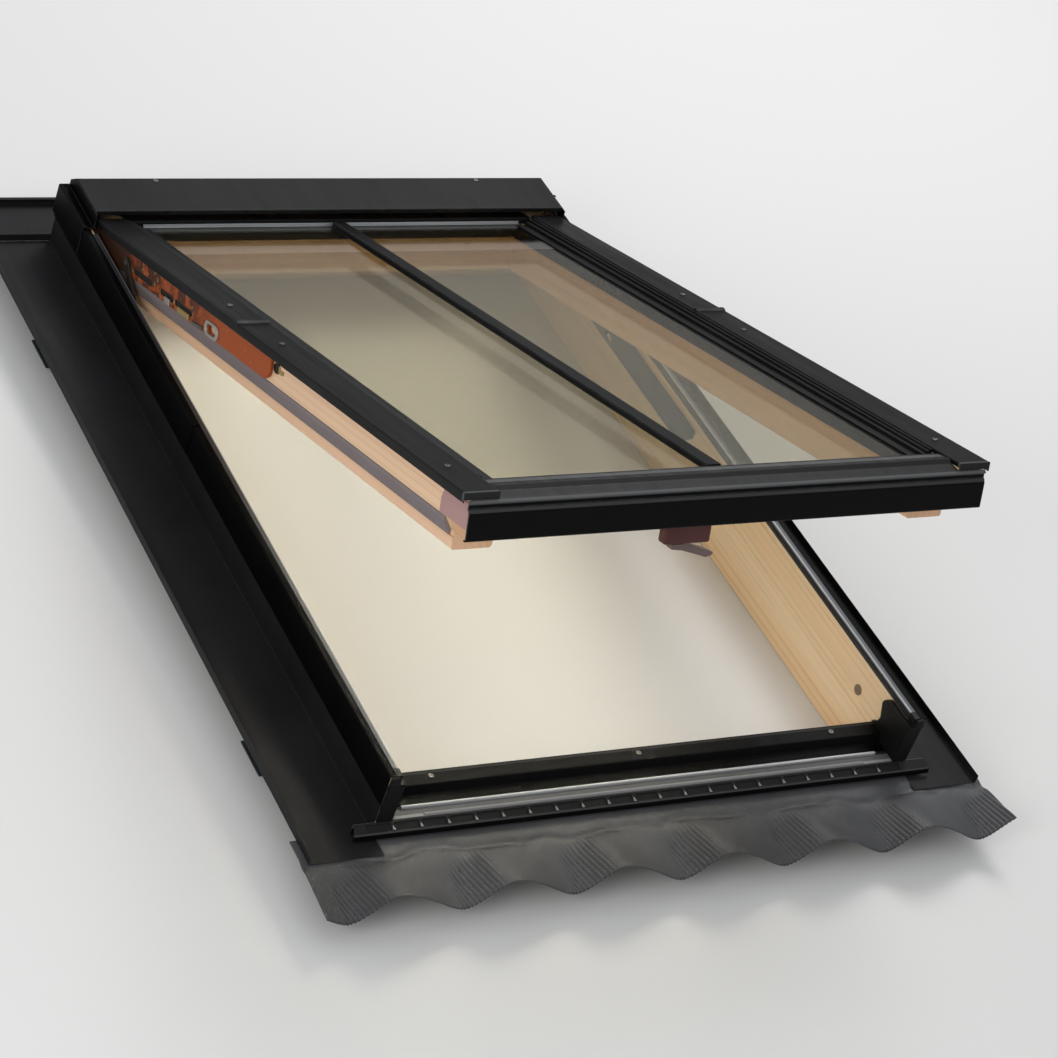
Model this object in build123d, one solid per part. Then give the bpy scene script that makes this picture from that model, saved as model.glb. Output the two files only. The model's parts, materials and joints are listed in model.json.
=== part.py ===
"""Top-hung and centre-pivot roof window, 78 by 118, with its flashing kit.

Millimetres. X runs across the window, Y up the roof slope and Z out of the roof.
The origin is the middle of the sill's room-side face, so the frame's room side
lies in Z = 0 and the roof plane is level. The moving pieces are drawn shut, where
their clearances are easy to read, and are swung open to the rest pose at the end.
"""
from build123d import *
from math import atan2, cos, degrees, dist, pi, radians, sin, tan
import os

# Driving dimensions of the frame
WIDTH = 780.0  # outside width of the pine frame
LENGTH = 1180.0  # outside length of the pine frame
DEPTH = 140.0  # room face to the top of the side rails
WALL = 14.0  # pine frame stile, across
SILL_WIDTH = 60.0  # pine sill, along the slope
SILL_DROP = 61.5  # top of the pine sill below the rail top
SILL_STEP = 11.0  # down from the sill to the drip ledge
HEAD_WIDTH = 41.0  # pine head, along the slope
SHEET = 1.2  # aluminium covers
FLASH_SHEET = 0.6  # flashing sheet
SEAT = 0.3  # gap under a cover that rests on its piece
BEND = 0.5  # inside radius of the folds
RAIL_LEG = 46.0  # outer leg of a rail cover
RAIL_JOINT = 620.0  # where the two lengths of rail cover overlap
RAIL_LAP = 30.0
STRIP = 3.4  # upright leg of the bright strip inside the rail cover
STRIP_TOP = 8.0
STRIP_HEIGHT = 11.0
STRIP_PROUD = 0.8  # strip stands in from the pine
GROOVE_DROPS = (20.0, 66.0)  # fine lines planed along the stile's inner face
PLUG_RADIUS = 7.5
PLUG_Y = 84.0
PLUG_DROP = 54.0

# Driving dimensions of the hinge gear
HINGE_FROM_HEAD = 78.0  # hinge axis from the frame's upper outer face
HINGE_RISE = 4.0  # hinge axis above the rail top
REST_ANGLE = 19.2  # opening at which the window stands at rest
OPEN_LIMIT = 35.0
PIVOT_RUN = 481.0  # hinge axis to the centre pivot, along the sash
PIVOT_TRAVEL = 130.0
ARM_SHEET = 3.5
PLATE_SHEET = 3.4
PLATE_TOP = 24.0  # hinge plate's long edges below the rail top
PLATE_LOW = 62.0
ARM_TAIL = 89.0  # arm beyond the centre pivot
ARM_DEPTH = 47.0  # lower edge of the arm below the cover plane
TAIL_RADIUS = 18.0
COLLAR_RUN = 84.0  # catch collar up the arm from the centre pivot
TRACK_RADIUS = 36.0
TRACK_WIDTH = 10.0
TRACK_SKIN = 1.0  # sheet left outside the pressed track
SHOE_ARC = 10.0  # degrees of track between the centres of the shoe's round ends
STAY_REACH = 120.0  # hinge to strut rivet, and strut length
STAY_DIP = 12.8  # strut rivet below the cover plane, degrees at the hinge
STAY_SLACK = 1.0  # degrees left between strut and arm when shut
PIN_RADIUS = 4.0
RUN_FIT = 0.06  # radial clearance of pins that turn

# Driving dimensions of the sash
SIDE_GAP = 2.0  # sash covers to the frame wall
COVER_RISE = 4.5  # cover plane above the hinge axis
COVER_WIDTH = 47.0
COVER_SKIRT = 12.0
COVER_END = 9.0  # turned-down lower end of a side cover
LAP_RISE = 2.8  # joggle of the upper cover where it laps the lower one
STILE_INSET = 12.0  # sash stile behind the cover's outer face
STILE_WIDTH = 64.0
STILE_TOP = 6.0  # top of the sash pine below the cover plane
SASH_DEPTH = 89.0  # lower edge of the pine lip below the cover plane
RAIL_DEPTH = 79.5  # lower edge of the bottom rail below the cover plane
BAND_DEPTH = 48.5  # lower edge of the stile's outer band
LIP_INSET = 10.0
LIP_TOP = 74.0  # top of the pine lip below the cover plane, under the seal
LIP_GROOVE = 2.5
FASCIA_INSET = 13.0  # fascia in from the frame's lower face
COVER_INSET = 18.0  # covers' lower ends in from the frame's lower face
TOP_RUN = 33.0  # sash top end beyond the hinge axis
TOP_INNER_RUN = 20.0  # hinge axis to the inner face of the top rail
BOTTOM_RAIL = 67.0  # fascia to the inner face of the bottom rail
LIP_END = 53.0  # fascia to the end of the pine lip
FASCIA_DEPTH = 58.5
GLASS_TOP = 13.0  # outer pane below the cover plane
PANE = 4.0
GLASS_GAP = 16.0
SPACER_SHOWS = 4.0  # black edge of the glass inside the pine
GLASS_BITE = 12.0  # glass held beyond the pine's inner face
BAR_WIDTH = 21.0
BAR_HEIGHT = 8.0

# Driving dimensions of the hood and the flashing
HOOD_RISE = 26.0  # hood top above the rail top
HOOD_LIP = 6.5
HOOD_TAIL = 24.0  # the hood's upper leg, down past the rail top
CAP_LEG = 40.0
HOOD_FRONT_GAP = 12.0  # hood's front edge before the hinge axis
HOOD_DEPTH = 78.0
CAP_WIDTH = 15.5
FLASH_DROP = 92.0  # flashing flange below the rail top
FLANGE = 100.0
FLANGE_LIP = 12.0
HEAD_FLANGE = 90.0
PROFILE_OVERHANG = 35.0
PROFILE_SLANT = 6.0  # what the ends of the slotted profile lose towards the frame
PROFILE_SLOT_PITCH = 37.5
PROFILE_SLOT = (32.5, 9.0)
PROFILE_SHIFT = -13.0  # the stamped slots start off the middle
NOSE_INSET = 26.0  # bright drip nose, ends inside the frame
BEAD_INSET = 52.0
APRON_FLAT = 42.0
APRON_RUN = 106.0
APRON_SHEET = 1.6
WAVE_PITCH = 153.5
WAVE_CREST = 20.0  # apron's hem above its flat part
WAVE_TROUGH = 17.0
WAVE_START = 53.2  # a crest stands here, across the window
WAVE_LEAN = 0.35  # makes each crest rise faster than it falls

# Fasteners and the lock
SCREW_RADIUS = 4.0
SCREW_HEAD = 1.4
SHANK_RADIUS = 1.8
SILL_SCREW_X = 0.38 * WIDTH
HOOD_SCREW_X = 0.335 * WIDTH
BRACKET_LOW = 180.0  # middle of the lower brackets from the frame's lower end
BRACKET_HIGH = 200.0  # middle of the upper brackets from its upper end
BRACKET_LEG = 75.0
BRACKET_WIDTH = 60.0
BRACKET_FOOT = 4.0  # underside of a bracket above the frame's room face
BRACKET_HOLE = 2.75
BRACKET_SPACING = 36.0
CORNER_PLATE = 66.0  # steel plate on the side of each lower sash corner
LOCK_X = -22.0
LOCK_WIDTH = 66.0
LOCK_DEPTH = 17.0
LOCK_HEIGHT = 25.5
LOCK_INSET = 13.5  # lock centre line up from the end of the lip
HANDLE_LENGTH = 52.0

# Levels and lines that follow from them
half = WIDTH / 2
inner = half - WALL  # frame's inner face
y_low = -SILL_WIDTH / 2
y_high = y_low + LENGTH
y_sill = y_low + SILL_WIDTH
y_head = y_high - HEAD_WIDTH
top = DEPTH
z_sill = top - SILL_DROP
y_hinge = y_high - HINGE_FROM_HEAD
z_hinge = top + HINGE_RISE
plane = z_hinge + COVER_RISE  # outside of the sash covers when shut
cover_out = inner - SIDE_GAP
cover_in = cover_out - COVER_WIDTH
stile_out = cover_out - STILE_INSET
stile_in = stile_out - STILE_WIDTH
lip_out = stile_out - LIP_INSET
y_pivot = y_hinge - PIVOT_RUN
y_fascia = y_low + FASCIA_INSET
y_cover = y_low + COVER_INSET
y_top = y_hinge + TOP_RUN
y_glass_low = y_fascia + BOTTOM_RAIL
y_glass_high = y_hinge - TOP_INNER_RUN
y_lip = y_fascia + LIP_END
glass_z = plane - GLASS_TOP
unit = 2 * PANE + GLASS_GAP
glass_x = stile_in + GLASS_BITE
arm_x = stile_out + 2.0
strut_x = arm_x + ARM_SHEET + 0.6
strut_sheet = 2.8
plate_x = inner - PLATE_SHEET
hood_y = y_hinge - HOOD_FRONT_GAP
hood_z = top + HOOD_RISE
flash_z = top - FLASH_DROP
hinge_axis = Axis((0, y_hinge, z_hinge), (1, 0, 0))
pieces = {}


def along_y(outline, y0, y1):
    """Solid with an outline of (x, z) corners from y0 to y1."""
    sketch = make_face(Polyline(*outline, close=True))
    return extrude(Plane.XZ.offset(-y1) * sketch, amount=y1 - y0)


def along_x(outline, x0, x1):
    """Solid with an outline of (y, z) corners from x0 to x1."""
    sketch = make_face(Polyline(*outline, close=True))
    return extrude(Plane.YZ.offset(x0) * sketch, amount=x1 - x0)


def folded(path, sheet):
    """Face of a sheet folded along a path: its metal lies on the left and its bends are round outside."""
    legs = [atan2(b[1] - a[1], b[0] - a[0]) for a, b in zip(path, path[1:])]
    back = []
    for i, (u, v) in enumerate(path):
        before = legs[max(i - 1, 0)]
        after = legs[min(i, len(legs) - 1)]
        reach = sheet / cos((after - before) / 2)
        middle = (after + before) / 2
        back.append((u - reach * sin(middle), v + reach * cos(middle)))
    face = make_face(Polyline(*path, *back[::-1], close=True))
    for i in range(1, len(path) - 1):
        turn = (legs[i] - legs[i - 1] + pi) % (2 * pi) - pi
        corner = path[i] if turn > 0 else back[i]
        short = min(dist(path[i - 1], path[i]), dist(path[i], path[i + 1]))
        radius = min(sheet + BEND, 0.45 * short / tan(abs(turn) / 2))
        face = fillet(face.vertices().sort_by_distance((*corner, 0))[0], radius)
    return face


def fold_y(path, sheet, y0, y1):
    """Sheet folded along (x, z) points and run from y0 to y1."""
    return extrude(Plane.XZ.offset(-y1) * folded(path, sheet), amount=y1 - y0)


def fold_x(path, sheet, x0, x1):
    """Sheet folded along (y, z) points and run from x0 to x1."""
    return extrude(Plane.YZ.offset(x0) * folded(path, sheet), amount=x1 - x0)


def pin_x(y, z, radius, x0, x1):
    """Round bar across the window."""
    return Pos(x0, y, z) * Rot(0, 90, 0) * Cylinder(
        radius, x1 - x0, align=(Align.CENTER, Align.CENTER, Align.MIN))


def pin_z(x, y, radius, z0, z1):
    """Round bar out of the roof plane."""
    return Pos(x, y, z0) * Cylinder(radius, z1 - z0, align=(Align.CENTER, Align.CENTER, Align.MIN))


def oblong(y, z, length, height, x0, x1, lean=0.0):
    """Round-ended block along the slope, between x0 and x1."""
    shape = extrude(Plane.YZ * SlotOverall(length, height), amount=x1 - x0)
    return Pos(x0, y, z) * Rot(lean, 0, 0) * shape


def screw(x, y, z, grip=8.0):
    """Pan-head screw with a driver recess, head seated on z."""
    head = pin_z(x, y, SCREW_RADIUS, z, z + SCREW_HEAD)
    head = fillet(head.edges().group_by(Axis.Z)[-1], SCREW_HEAD * 0.6)
    shank = pin_z(x, y, SHANK_RADIUS, z - grip, z)
    recess = Box(SCREW_RADIUS, 0.8, 1.0) + Box(0.8, SCREW_RADIUS, 1.0)
    return head + shank - Pos(x, y, z + SCREW_HEAD) * recess


def screws_at(spots, through, grip=8.0, swung=False):
    """Screws with their heads on (x, y, z) spots, and their holes in the pieces below."""
    solids = []
    for x, y, z in spots:
        hole = pin_z(x, y, SHANK_RADIUS + 0.02, z - grip, z)
        for name in through:
            pieces[name] -= opened(hole) if swung else hole
        solids.append(screw(x, y, z, grip))
    return solids


def mirrored(piece):
    """The same piece on the window's left."""
    return mirror(piece, about=Plane.YZ)


def opened(piece):
    """A piece drawn with the window shut, swung to the rest pose."""
    return piece.rotate(hinge_axis, -REST_ANGLE)


def pair(name, piece, swung=False):
    """Store a right-hand piece and its left-hand twin."""
    for side, solid in (("right", piece), ("left", mirrored(piece))):
        pieces[f"{name}_{side}"] = opened(solid) if swung else solid


def group(name, solids, swung=False):
    """Store several equal solids as one node."""
    whole = Compound(children=[opened(s) if swung else s for s in solids])
    pieces[name] = whole


def frame_timbers():
    """Pine frame: two stiles that run the full length, with head and sill between them."""
    cap = top - SHEET - SEAT
    rebate = inner + STRIP - 0.5
    outline = [(inner, 0), (half, 0), (half, cap), (rebate, cap), (rebate, top - STRIP_HEIGHT - SEAT)]
    outline.append((inner, top - STRIP_HEIGHT - SEAT))
    for drop in GROOVE_DROPS:
        outline += [(inner, top - drop + 2), (inner + 1.6, top - drop), (inner, top - drop - 2)]
    stile = along_y(outline, y_low, y_high)
    stile -= pin_x(PLUG_Y, top - PLUG_DROP, PLUG_RADIUS, inner - 1, inner + 6)
    pair("frame_stile", stile)

    back = hood_y + HOOD_DEPTH
    roof = hood_z - SHEET - SEAT
    head = [(y_head, 0), (y_high, 0), (y_high, roof - 10), (back - 1, roof), (back - 11, roof)]
    head += [(back - 11, top - 8), (y_head, top - 8)]
    pieces["frame_head"] = along_x(head, -inner, inner)

    groove = [(y_sill, 18), (y_sill - 8, 18), (y_sill - 8, 30), (y_sill, 30)]
    sill = [(y_low, 0), (y_sill, 0)] + groove + [(y_sill, z_sill)]
    sill += [(y_sill - 20.5, z_sill), (y_sill - 24.5, z_sill - 11.5), (y_low, z_sill - 13)]
    pieces["frame_sill"] = along_x(sill, -inner, inner)


def plugs():
    """Round plugs pressed over the bracket screws, low on each stile."""
    plug = pin_x(PLUG_Y, top - PLUG_DROP, PLUG_RADIUS, inner - 1.2, inner + 6)
    rim = plug.edges().filter_by(GeomType.CIRCLE).group_by(Axis.X)[0]
    plug = fillet(rim, 0.8)
    group("frame_plugs", [plug, mirrored(plug)])


def rails():
    """Side rails: a folded cover in two lapped lengths and the bright strip inside it."""
    start = inner - STRIP_PROUD + STRIP_TOP + SEAT
    edge = half + FLASH_SHEET + 2 * 0.15 + SHEET
    for name, grow, y0, y1 in (
            ("rail_cover_lower", 0.0, y_low, RAIL_JOINT + RAIL_LAP),
            ("rail_cover_upper", SHEET + 0.1, RAIL_JOINT, y_high)):
        x1 = edge + grow
        z1 = top + grow
        path = [(x1, z1 - RAIL_LEG), (x1, z1), (start, z1)]
        pair(name, fold_y(path, SHEET, y0, y1))

    x0 = inner - STRIP_PROUD
    z0 = top - STRIP_HEIGHT
    z1 = top + 0.5
    strip = [(x0, z0), (x0 + STRIP, z0), (x0 + STRIP, z1 - 1.8), (x0 + STRIP_TOP, z1 - 1.8)]
    strip += [(x0 + STRIP_TOP, z1), (x0 + 1, z1), (x0, z1 - 1)]
    strip += [(x0, z1 - 4), (x0 + 1, z1 - 4.6), (x0 + 1, z1 - 6), (x0, z1 - 6.6)]
    pair("rail_strip", along_y(strip, y_fascia, hood_y - 18))


def sill_trim():
    """Folded sill cover, bright drip edge and the black blocks in the two lower corners."""
    face = z_sill + SHEET + SEAT
    span = inner - SEAT
    path = [(y_sill + 1.6, face - 12), (y_sill + 1.6, face), (y_sill - 22, face)]
    path += [(y_sill - 26, face - 11), (y_low + 18, face - 12)]
    pieces["sill_cover"] = fold_x(path, SHEET, -span, span)

    low = z_sill - 12.0
    ends = inner - NOSE_INSET
    nose = [(y_low + 17, low), (y_low + 17, low + 4.6), (y_low + 13.2, low + 4.6), (y_low + 13.2, low)]
    nose = along_x(nose, -ends, ends)
    pieces["drip_edge"] = fillet(nose.edges().filter_by(Axis.X).group_by(Axis.Z)[-1], 1.6)

    z0 = face + SEAT
    z1 = top - STRIP_HEIGHT - 1
    hump = ThreePointArc((y_sill - 1, z1 - 12), (y_sill - 4, z1 - 5), (y_sill - 14, z1))
    hollow = ThreePointArc((y_sill + 3, z0), (y_sill - 5, z0 + 6), (y_sill - 9, z0 + 17))
    under = [(y_low, z1), (y_low, z0 - 12), (y_sill - 26.4, z0 - 11), (y_sill - 22.4, z0)]
    edges = [hollow, Line(hollow @ 1, hump @ 0), hump, Polyline(hump @ 1, *under, hollow @ 0)]
    x0 = stile_out + 7
    block = extrude(Plane.YZ.offset(x0) * make_face(Curve() + edges), amount=inner - x0)
    foot = z_sill - SILL_STEP + SEAT
    roof = top - SHEET - SEAT
    cap = [(x0, foot), (half, foot), (half, roof), (inner + 3, roof), (inner, z1), (x0, z1)]
    block += along_y(cap, y_low - 3, y_low)
    x1 = inner - STRIP_PROUD
    x2 = inner + STRIP - 0.7
    x3 = x1 + STRIP_TOP
    z2 = top - STRIP_HEIGHT - 0.1
    plug = [(x1 - 2, z1 - 1), (inner, z1 - 1), (inner, z2), (x2, z2), (x2, roof + 0.2), (x3, roof + 0.2)]
    plug += [(x3, top + 0.5), (x1, top + 0.5), (x1, z1)]
    block += along_y(plug, y_low, y_fascia - SEAT)
    ledge = Pos(half - 6, y_low - 3, z1 + 1) * Box(12, 2.4, 3)
    block += chamfer(ledge.edges().filter_by(Axis.X).group_by(Axis.Z)[-1], 0.8)
    pair("corner_block", block)


def hood_set():
    """Folded hood over the head, with a side cap that closes each end."""
    back = hood_y + HOOD_DEPTH
    span = inner + 1.5
    path = [(y_high + 4, top - HOOD_TAIL), (y_high + 4, hood_z - 12), (back, hood_z), (hood_y, hood_z)]
    path += [(hood_y, hood_z - HOOD_LIP)]
    pieces["hood"] = fold_x(path, SHEET, -span, span)

    x0 = span + SEAT + SHEET
    x1 = inner + 1.9 + CAP_WIDTH + 1.5
    rim = top + 5.5
    floor = top + 2.8
    path = [(x1, top - CAP_LEG), (x1, rim), (x1 - 4.5, rim), (x1 - 6, floor), (x0, floor), (x0, hood_z - 1)]
    cap = fold_y(path, SHEET, hood_y - 8, y_high + 5)
    cap += Pos((x0 + x1) / 2 - 2, y_high + 5 - SHEET / 2, rim - 2) * Box(x1 - x0 - 4, SHEET, 4)
    side = [(hood_y - 8, 0), (hood_y - 8, hood_z), (back, hood_z), (y_high + 5, hood_z - 13), (y_high + 5, 0)]
    cap &= along_x(side, 0, x1 + 1)
    pair("hood_cap", cap)


def flashing():
    """Flashing kit: side gutters, head flashing, slotted profile and the wavy apron."""
    z0 = flash_z + APRON_SHEET + SEAT
    x0 = half + 0.15
    x1 = half + FLANGE
    path = [(x0, top - 14), (x0, z0), (x1, z0), (x1, z0 + FLANGE_LIP)]
    side = fold_y(path, FLASH_SHEET, y_low, y_high)
    side += fold_y([(x0, z0), (x1, z0), (x1, z0 + FLANGE_LIP)], FLASH_SHEET, y_low - 40, y_low)
    pair("flashing_side", side)

    y0 = y_high + SEAT
    y1 = y0 + HEAD_FLANGE
    hem = y1 - FLANGE_LIP / 2
    path = [(y0, z0 + FLANGE_LIP), (y0, z0), (y1, z0), (y1, z0 + FLANGE_LIP), (hem, z0 + FLANGE_LIP)]
    head = fold_x(path, FLASH_SHEET, -x1, x1)
    head += along_x([(y0, z0), (y0 + FLASH_SHEET, z0), (y0 + FLASH_SHEET, top - 14), (y0, top - 14)], -half, half)
    pieces["flashing_head"] = head

    wing = half + PROFILE_OVERHANG
    level = z_sill - SILL_STEP
    y0 = y_low - SEAT
    path = [(y0, z0 + 1.2), (y0, level), (y0 - 15.5, level - 5.5), (y0 - 17, level - 13)]
    profile = fold_x(path, SHEET, -wing, wing)
    long_way, wide = PROFILE_SLOT
    count = int(2 * wing / PROFILE_SLOT_PITCH) - 1
    for i in range(count):
        x = (i - (count - 1) / 2) * PROFILE_SLOT_PITCH + PROFILE_SHIFT
        profile -= Pos(x, y0 - 8.5, level) * Box(long_way, wide, 20)
    back = wing - PROFILE_SLANT
    plan = make_face(Polyline((-wing, y0 - 20), (wing, y0 - 20), (back, y0 + 1), (-back, y0 + 1), close=True))
    profile &= extrude(Plane.XY.offset(z0) * plan, amount=level - z0 + 1)
    rear = y_low + 12.7
    under = [(y0 - SHEET, level), (rear, level), (rear, level - SHEET), (y0 - SHEET, level - SHEET)]
    profile += along_x(under, SEAT - inner, inner - SEAT)
    for side in (-1, 1):
        tab = Box(NOSE_INSET - 2 * SEAT, 6, SHEET, align=(Align.CENTER, Align.CENTER, Align.MAX))
        profile += Pos(side * (inner - NOSE_INSET / 2), rear + 2, level) * tab
    ends = inner - BEAD_INSET
    bead = Pos(0, y_low + 2, level) * Rot(0, 90, 0) * Cylinder(2.0, 2 * ends)
    profile += bead - Box(WIDTH, WIDTH, 2 * (level - SHEET / 2))
    pieces["slotted_profile"] = profile
    pieces["apron"] = apron(x1 + 10, y0)


def wave(x):
    """Height of the apron's hem over its flat part, steeper on one side as the tiles are."""
    turn = 2 * pi * (x - WAVE_START) / WAVE_PITCH
    swing = cos(turn + WAVE_LEAN * (cos(turn) - 1))
    return (WAVE_CREST - WAVE_TROUGH) / 2 + (WAVE_CREST + WAVE_TROUGH) / 2 * swing


def apron(span, y0):
    """Sheet that is flat beside the window and dressed down over the tiles at its hem."""
    y1 = y0 - APRON_FLAT
    y2 = y0 - APRON_FLAT - APRON_RUN * 0.75
    flat = Pos(0, (y0 + y1) / 2, flash_z + APRON_SHEET / 2) * Box(2 * span, y0 - y1, APRON_SHEET)
    steps = round(2 * span / WAVE_PITCH * 8)
    line = [-span + 2 * span * i / steps for i in range(steps + 1)]
    hem_low = Spline(*[(x, y2, flash_z + wave(x)) for x in line])
    hem_top = Spline(*[(x, y2, flash_z + wave(x) + APRON_SHEET) for x in line])
    ends = [Line(hem_low @ 0, hem_top @ 0), Line(hem_low @ 1, hem_top @ 1)]
    hem = make_face(Curve() + [hem_low, hem_top] + ends)
    corners = [(-span, y1, flash_z), (span, y1, flash_z)]
    corners += [(span, y1, flash_z + APRON_SHEET), (-span, y1, flash_z + APRON_SHEET)]
    root = make_face(Polyline(*corners, close=True))
    return flat + loft([root, hem], ruled=True)


def frame_gear():
    """Hinge plates on the frame, their pins, the mounting brackets and the screws."""
    z0 = top - PLATE_LOW
    z1 = top - PLATE_TOP
    outline = [(y_pivot + 14, z0), (y_hinge + 18, z0), (y_hinge + 18, z1), (y_hinge + 11, z_hinge)]
    outline += [(y_hinge - 11, z_hinge), (y_hinge - 9, z1), (y_pivot - 10, z1), (y_pivot - 10, z1 - 14)]
    plate = along_x(outline, plate_x, inner) + pin_x(y_hinge, z_hinge, 11, plate_x, inner)
    plate -= pin_x(y_hinge, z_hinge, PIN_RADIUS + 0.02, plate_x - 1, inner + 1)
    slope = radians(STAY_DIP + STAY_SLACK)
    reach = 2 * STAY_REACH
    near = reach * cos(radians(OPEN_LIMIT + STAY_SLACK)) - 10
    far = reach + 10
    slot = SlotCenterToCenter(far - near - 9, 9.2)
    middle = (near + far) / 2
    place = Pos(plate_x - 1, y_hinge - middle * cos(slope), z_hinge - middle * sin(slope))
    slot = extrude(Plane.YZ * (Rot(0, 0, degrees(slope)) * slot), amount=6)
    plate -= place * slot
    pair("hinge_plate", plate)

    pin = pin_x(y_hinge, z_hinge, PIN_RADIUS, arm_x - 1.6, inner)
    pin += pin_x(y_hinge, z_hinge, PIN_RADIUS + 2, arm_x - 1.6, arm_x - 0.4)
    group("hinge_pins", [pin, mirrored(pin)])

    brackets = []
    for y in (y_low + BRACKET_LOW, y_high - BRACKET_HIGH):
        path = [(half, flash_z - 4), (half, BRACKET_FOOT), (half + BRACKET_LEG, BRACKET_FOOT)]
        bracket = fold_y(path, 2.5, y - BRACKET_WIDTH / 2, y + BRACKET_WIDTH / 2)
        for dy in (-BRACKET_SPACING / 2, BRACKET_SPACING / 2):
            bracket -= pin_z(half + BRACKET_LEG * 0.6, y + dy, BRACKET_HOLE, BRACKET_FOOT - 1, BRACKET_FOOT + 6)
        brackets += [bracket, mirrored(bracket)]
    group("mounting_brackets", brackets)

    level = z_sill - 28
    keeper = Pos(LOCK_X, y_sill + 1, level) * Box(LOCK_WIDTH + 8, 2, 20)
    keeper = fillet(keeper.edges().filter_by(Axis.Y), 4)
    pieces["strike_plate"] = keeper - Pos(LOCK_X, y_sill, level + 2) * Box(LOCK_WIDTH - 24, 10, 8)

    sill_spots = [(x, y_sill - 10, z_sill + SHEET + SEAT) for x in (-SILL_SCREW_X, 0, SILL_SCREW_X)]
    hood_spots = [(x, hood_y + HOOD_DEPTH - 6, hood_z) for x in (-HOOD_SCREW_X, HOOD_SCREW_X)]
    screws = screws_at(sill_spots, ("sill_cover", "frame_sill"))
    screws += screws_at(hood_spots, ("hood", "frame_head"))
    group("frame_screws", screws)


def arms():
    """Pressed hinge arms with the pivot track, the covers they carry, and the stays."""
    x0 = arm_x
    x1 = arm_x + ARM_SHEET
    low = plane - ARM_DEPTH
    seat = plane - SHEET - SEAT
    tail = y_pivot - ARM_TAIL
    outline = [(tail, seat - 2), (tail, low), (y_hinge - 40, low)]
    outline += [(y_hinge + 10, z_hinge - 4), (y_hinge, z_hinge + 11), (y_hinge - 14, seat)]
    outline += [(y_pivot + 6, seat), (y_pivot + 6, seat - 2)]
    arm = along_x(outline, x0, x1)
    arm = fillet(arm.edges().filter_by(Axis.X).sort_by_distance((x0, tail, low))[0], TAIL_RADIUS)
    arm += pin_x(y_hinge, z_hinge, 11, x0, x1)
    flange = [(x0 - 24, seat - 3), (x1, seat - 3), (x1, seat), (x0 - 24, seat)]
    arm += along_y(flange, y_pivot + 6, y_hinge - 24)
    arm -= pin_x(y_hinge, z_hinge, PIN_RADIUS + RUN_FIT, x0 - 1, x1 + 1)
    sweep = PIVOT_TRAVEL + SHOE_ARC + 1
    track = CenterArc((0, 0), TRACK_RADIUS, -90 - sweep / 2, sweep)
    track = extrude(Plane.YZ * SlotArc(track, TRACK_WIDTH), amount=ARM_SHEET - TRACK_SKIN + 1)
    arm -= Pos(x0 - 1, y_pivot, plane) * track
    y_collar = y_pivot + COLLAR_RUN
    z_collar = plane - 36.5
    arm -= oblong(y_collar, z_collar, 26, 12, x0 - 1, x1 + 1)
    arm += oblong(y_collar + 44, z_collar + 1, 34, 8, x1 - 1, x1 + 1.2, -8)
    for run, length in ((148, 56), (208, 44), (280, 60)):
        arm -= oblong(y_pivot + run + length / 2, z_collar + 1, length, 9, x1 - 1.5, x1 + 1)
    dip = radians(STAY_DIP)
    y_rivet = y_hinge - STAY_REACH * cos(dip)
    z_rivet = z_hinge - STAY_REACH * sin(dip)
    arm -= pin_x(y_rivet, z_rivet, 3.4, x0 - 1, x1 + 1)
    pair("hinge_arm", arm, swung=True)

    path = [(cover_out, plane - COVER_SKIRT), (cover_out, plane), (cover_in, plane), (cover_in, plane - 5.7)]
    cover = fold_y(path, SHEET, y_pivot + 1, hood_y - 3)
    lap = [(y_pivot + 1, plane - 0.5), (y_pivot + 1, plane + 0.4), (y_pivot + 6, plane + LAP_RISE)]
    lap += [(y_pivot + 9, plane + LAP_RISE), (y_pivot + 14, plane - 0.5)]
    cover += along_x(lap, cover_in, cover_out)
    pair("upper_cover", cover, swung=True)

    x_mid = (cover_in + cover_out) / 2
    rivet = pin_x(y_rivet, z_rivet, 3.4, x0 - 1.2, strut_x + strut_sheet + 0.3)
    rivet += pin_x(y_rivet, z_rivet, 4.8, x0 - 1.2, x0)
    loose = [rivet]
    collar = oblong(y_collar, z_collar, 42, 21, x1, x1 + 2.6) - oblong(y_collar, z_collar, 28, 13, x1 - 1, x1 + 4)
    loose.append(chamfer(collar.edges().group_by(Axis.X)[-1], 0.7))
    hook = oblong(y_collar + 44, plane - ARM_DEPTH + 3.2, 34, 4.4, x1, x1 + 2.4, -4)
    loose.append(fillet(hook.edges().group_by(Axis.X)[-1], 1.0))
    block = Pos(x1 + 1.6, y_collar + 88, plane - 41.5) * Box(3.2, 36, 8)
    loose.append(chamfer(block.edges().group_by(Axis.X)[-1], 1.0))
    clip = Pos(x1 + 1.3, y_collar + 142, plane - 42) * Box(2.6, 16, 9)
    loose.append(chamfer(clip.edges().group_by(Axis.X)[-1], 0.8))
    loose += [mirrored(solid) for solid in loose]
    for side, x in (("right", x_mid), ("left", -x_mid)):
        through = (f"upper_cover_{side}", f"hinge_arm_{side}")
        loose += screws_at([(x, y_pivot + 76, plane)], through, 4, swung=True)
    group("arm_fasteners", loose, swung=True)
    stays(y_rivet, z_rivet)


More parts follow.
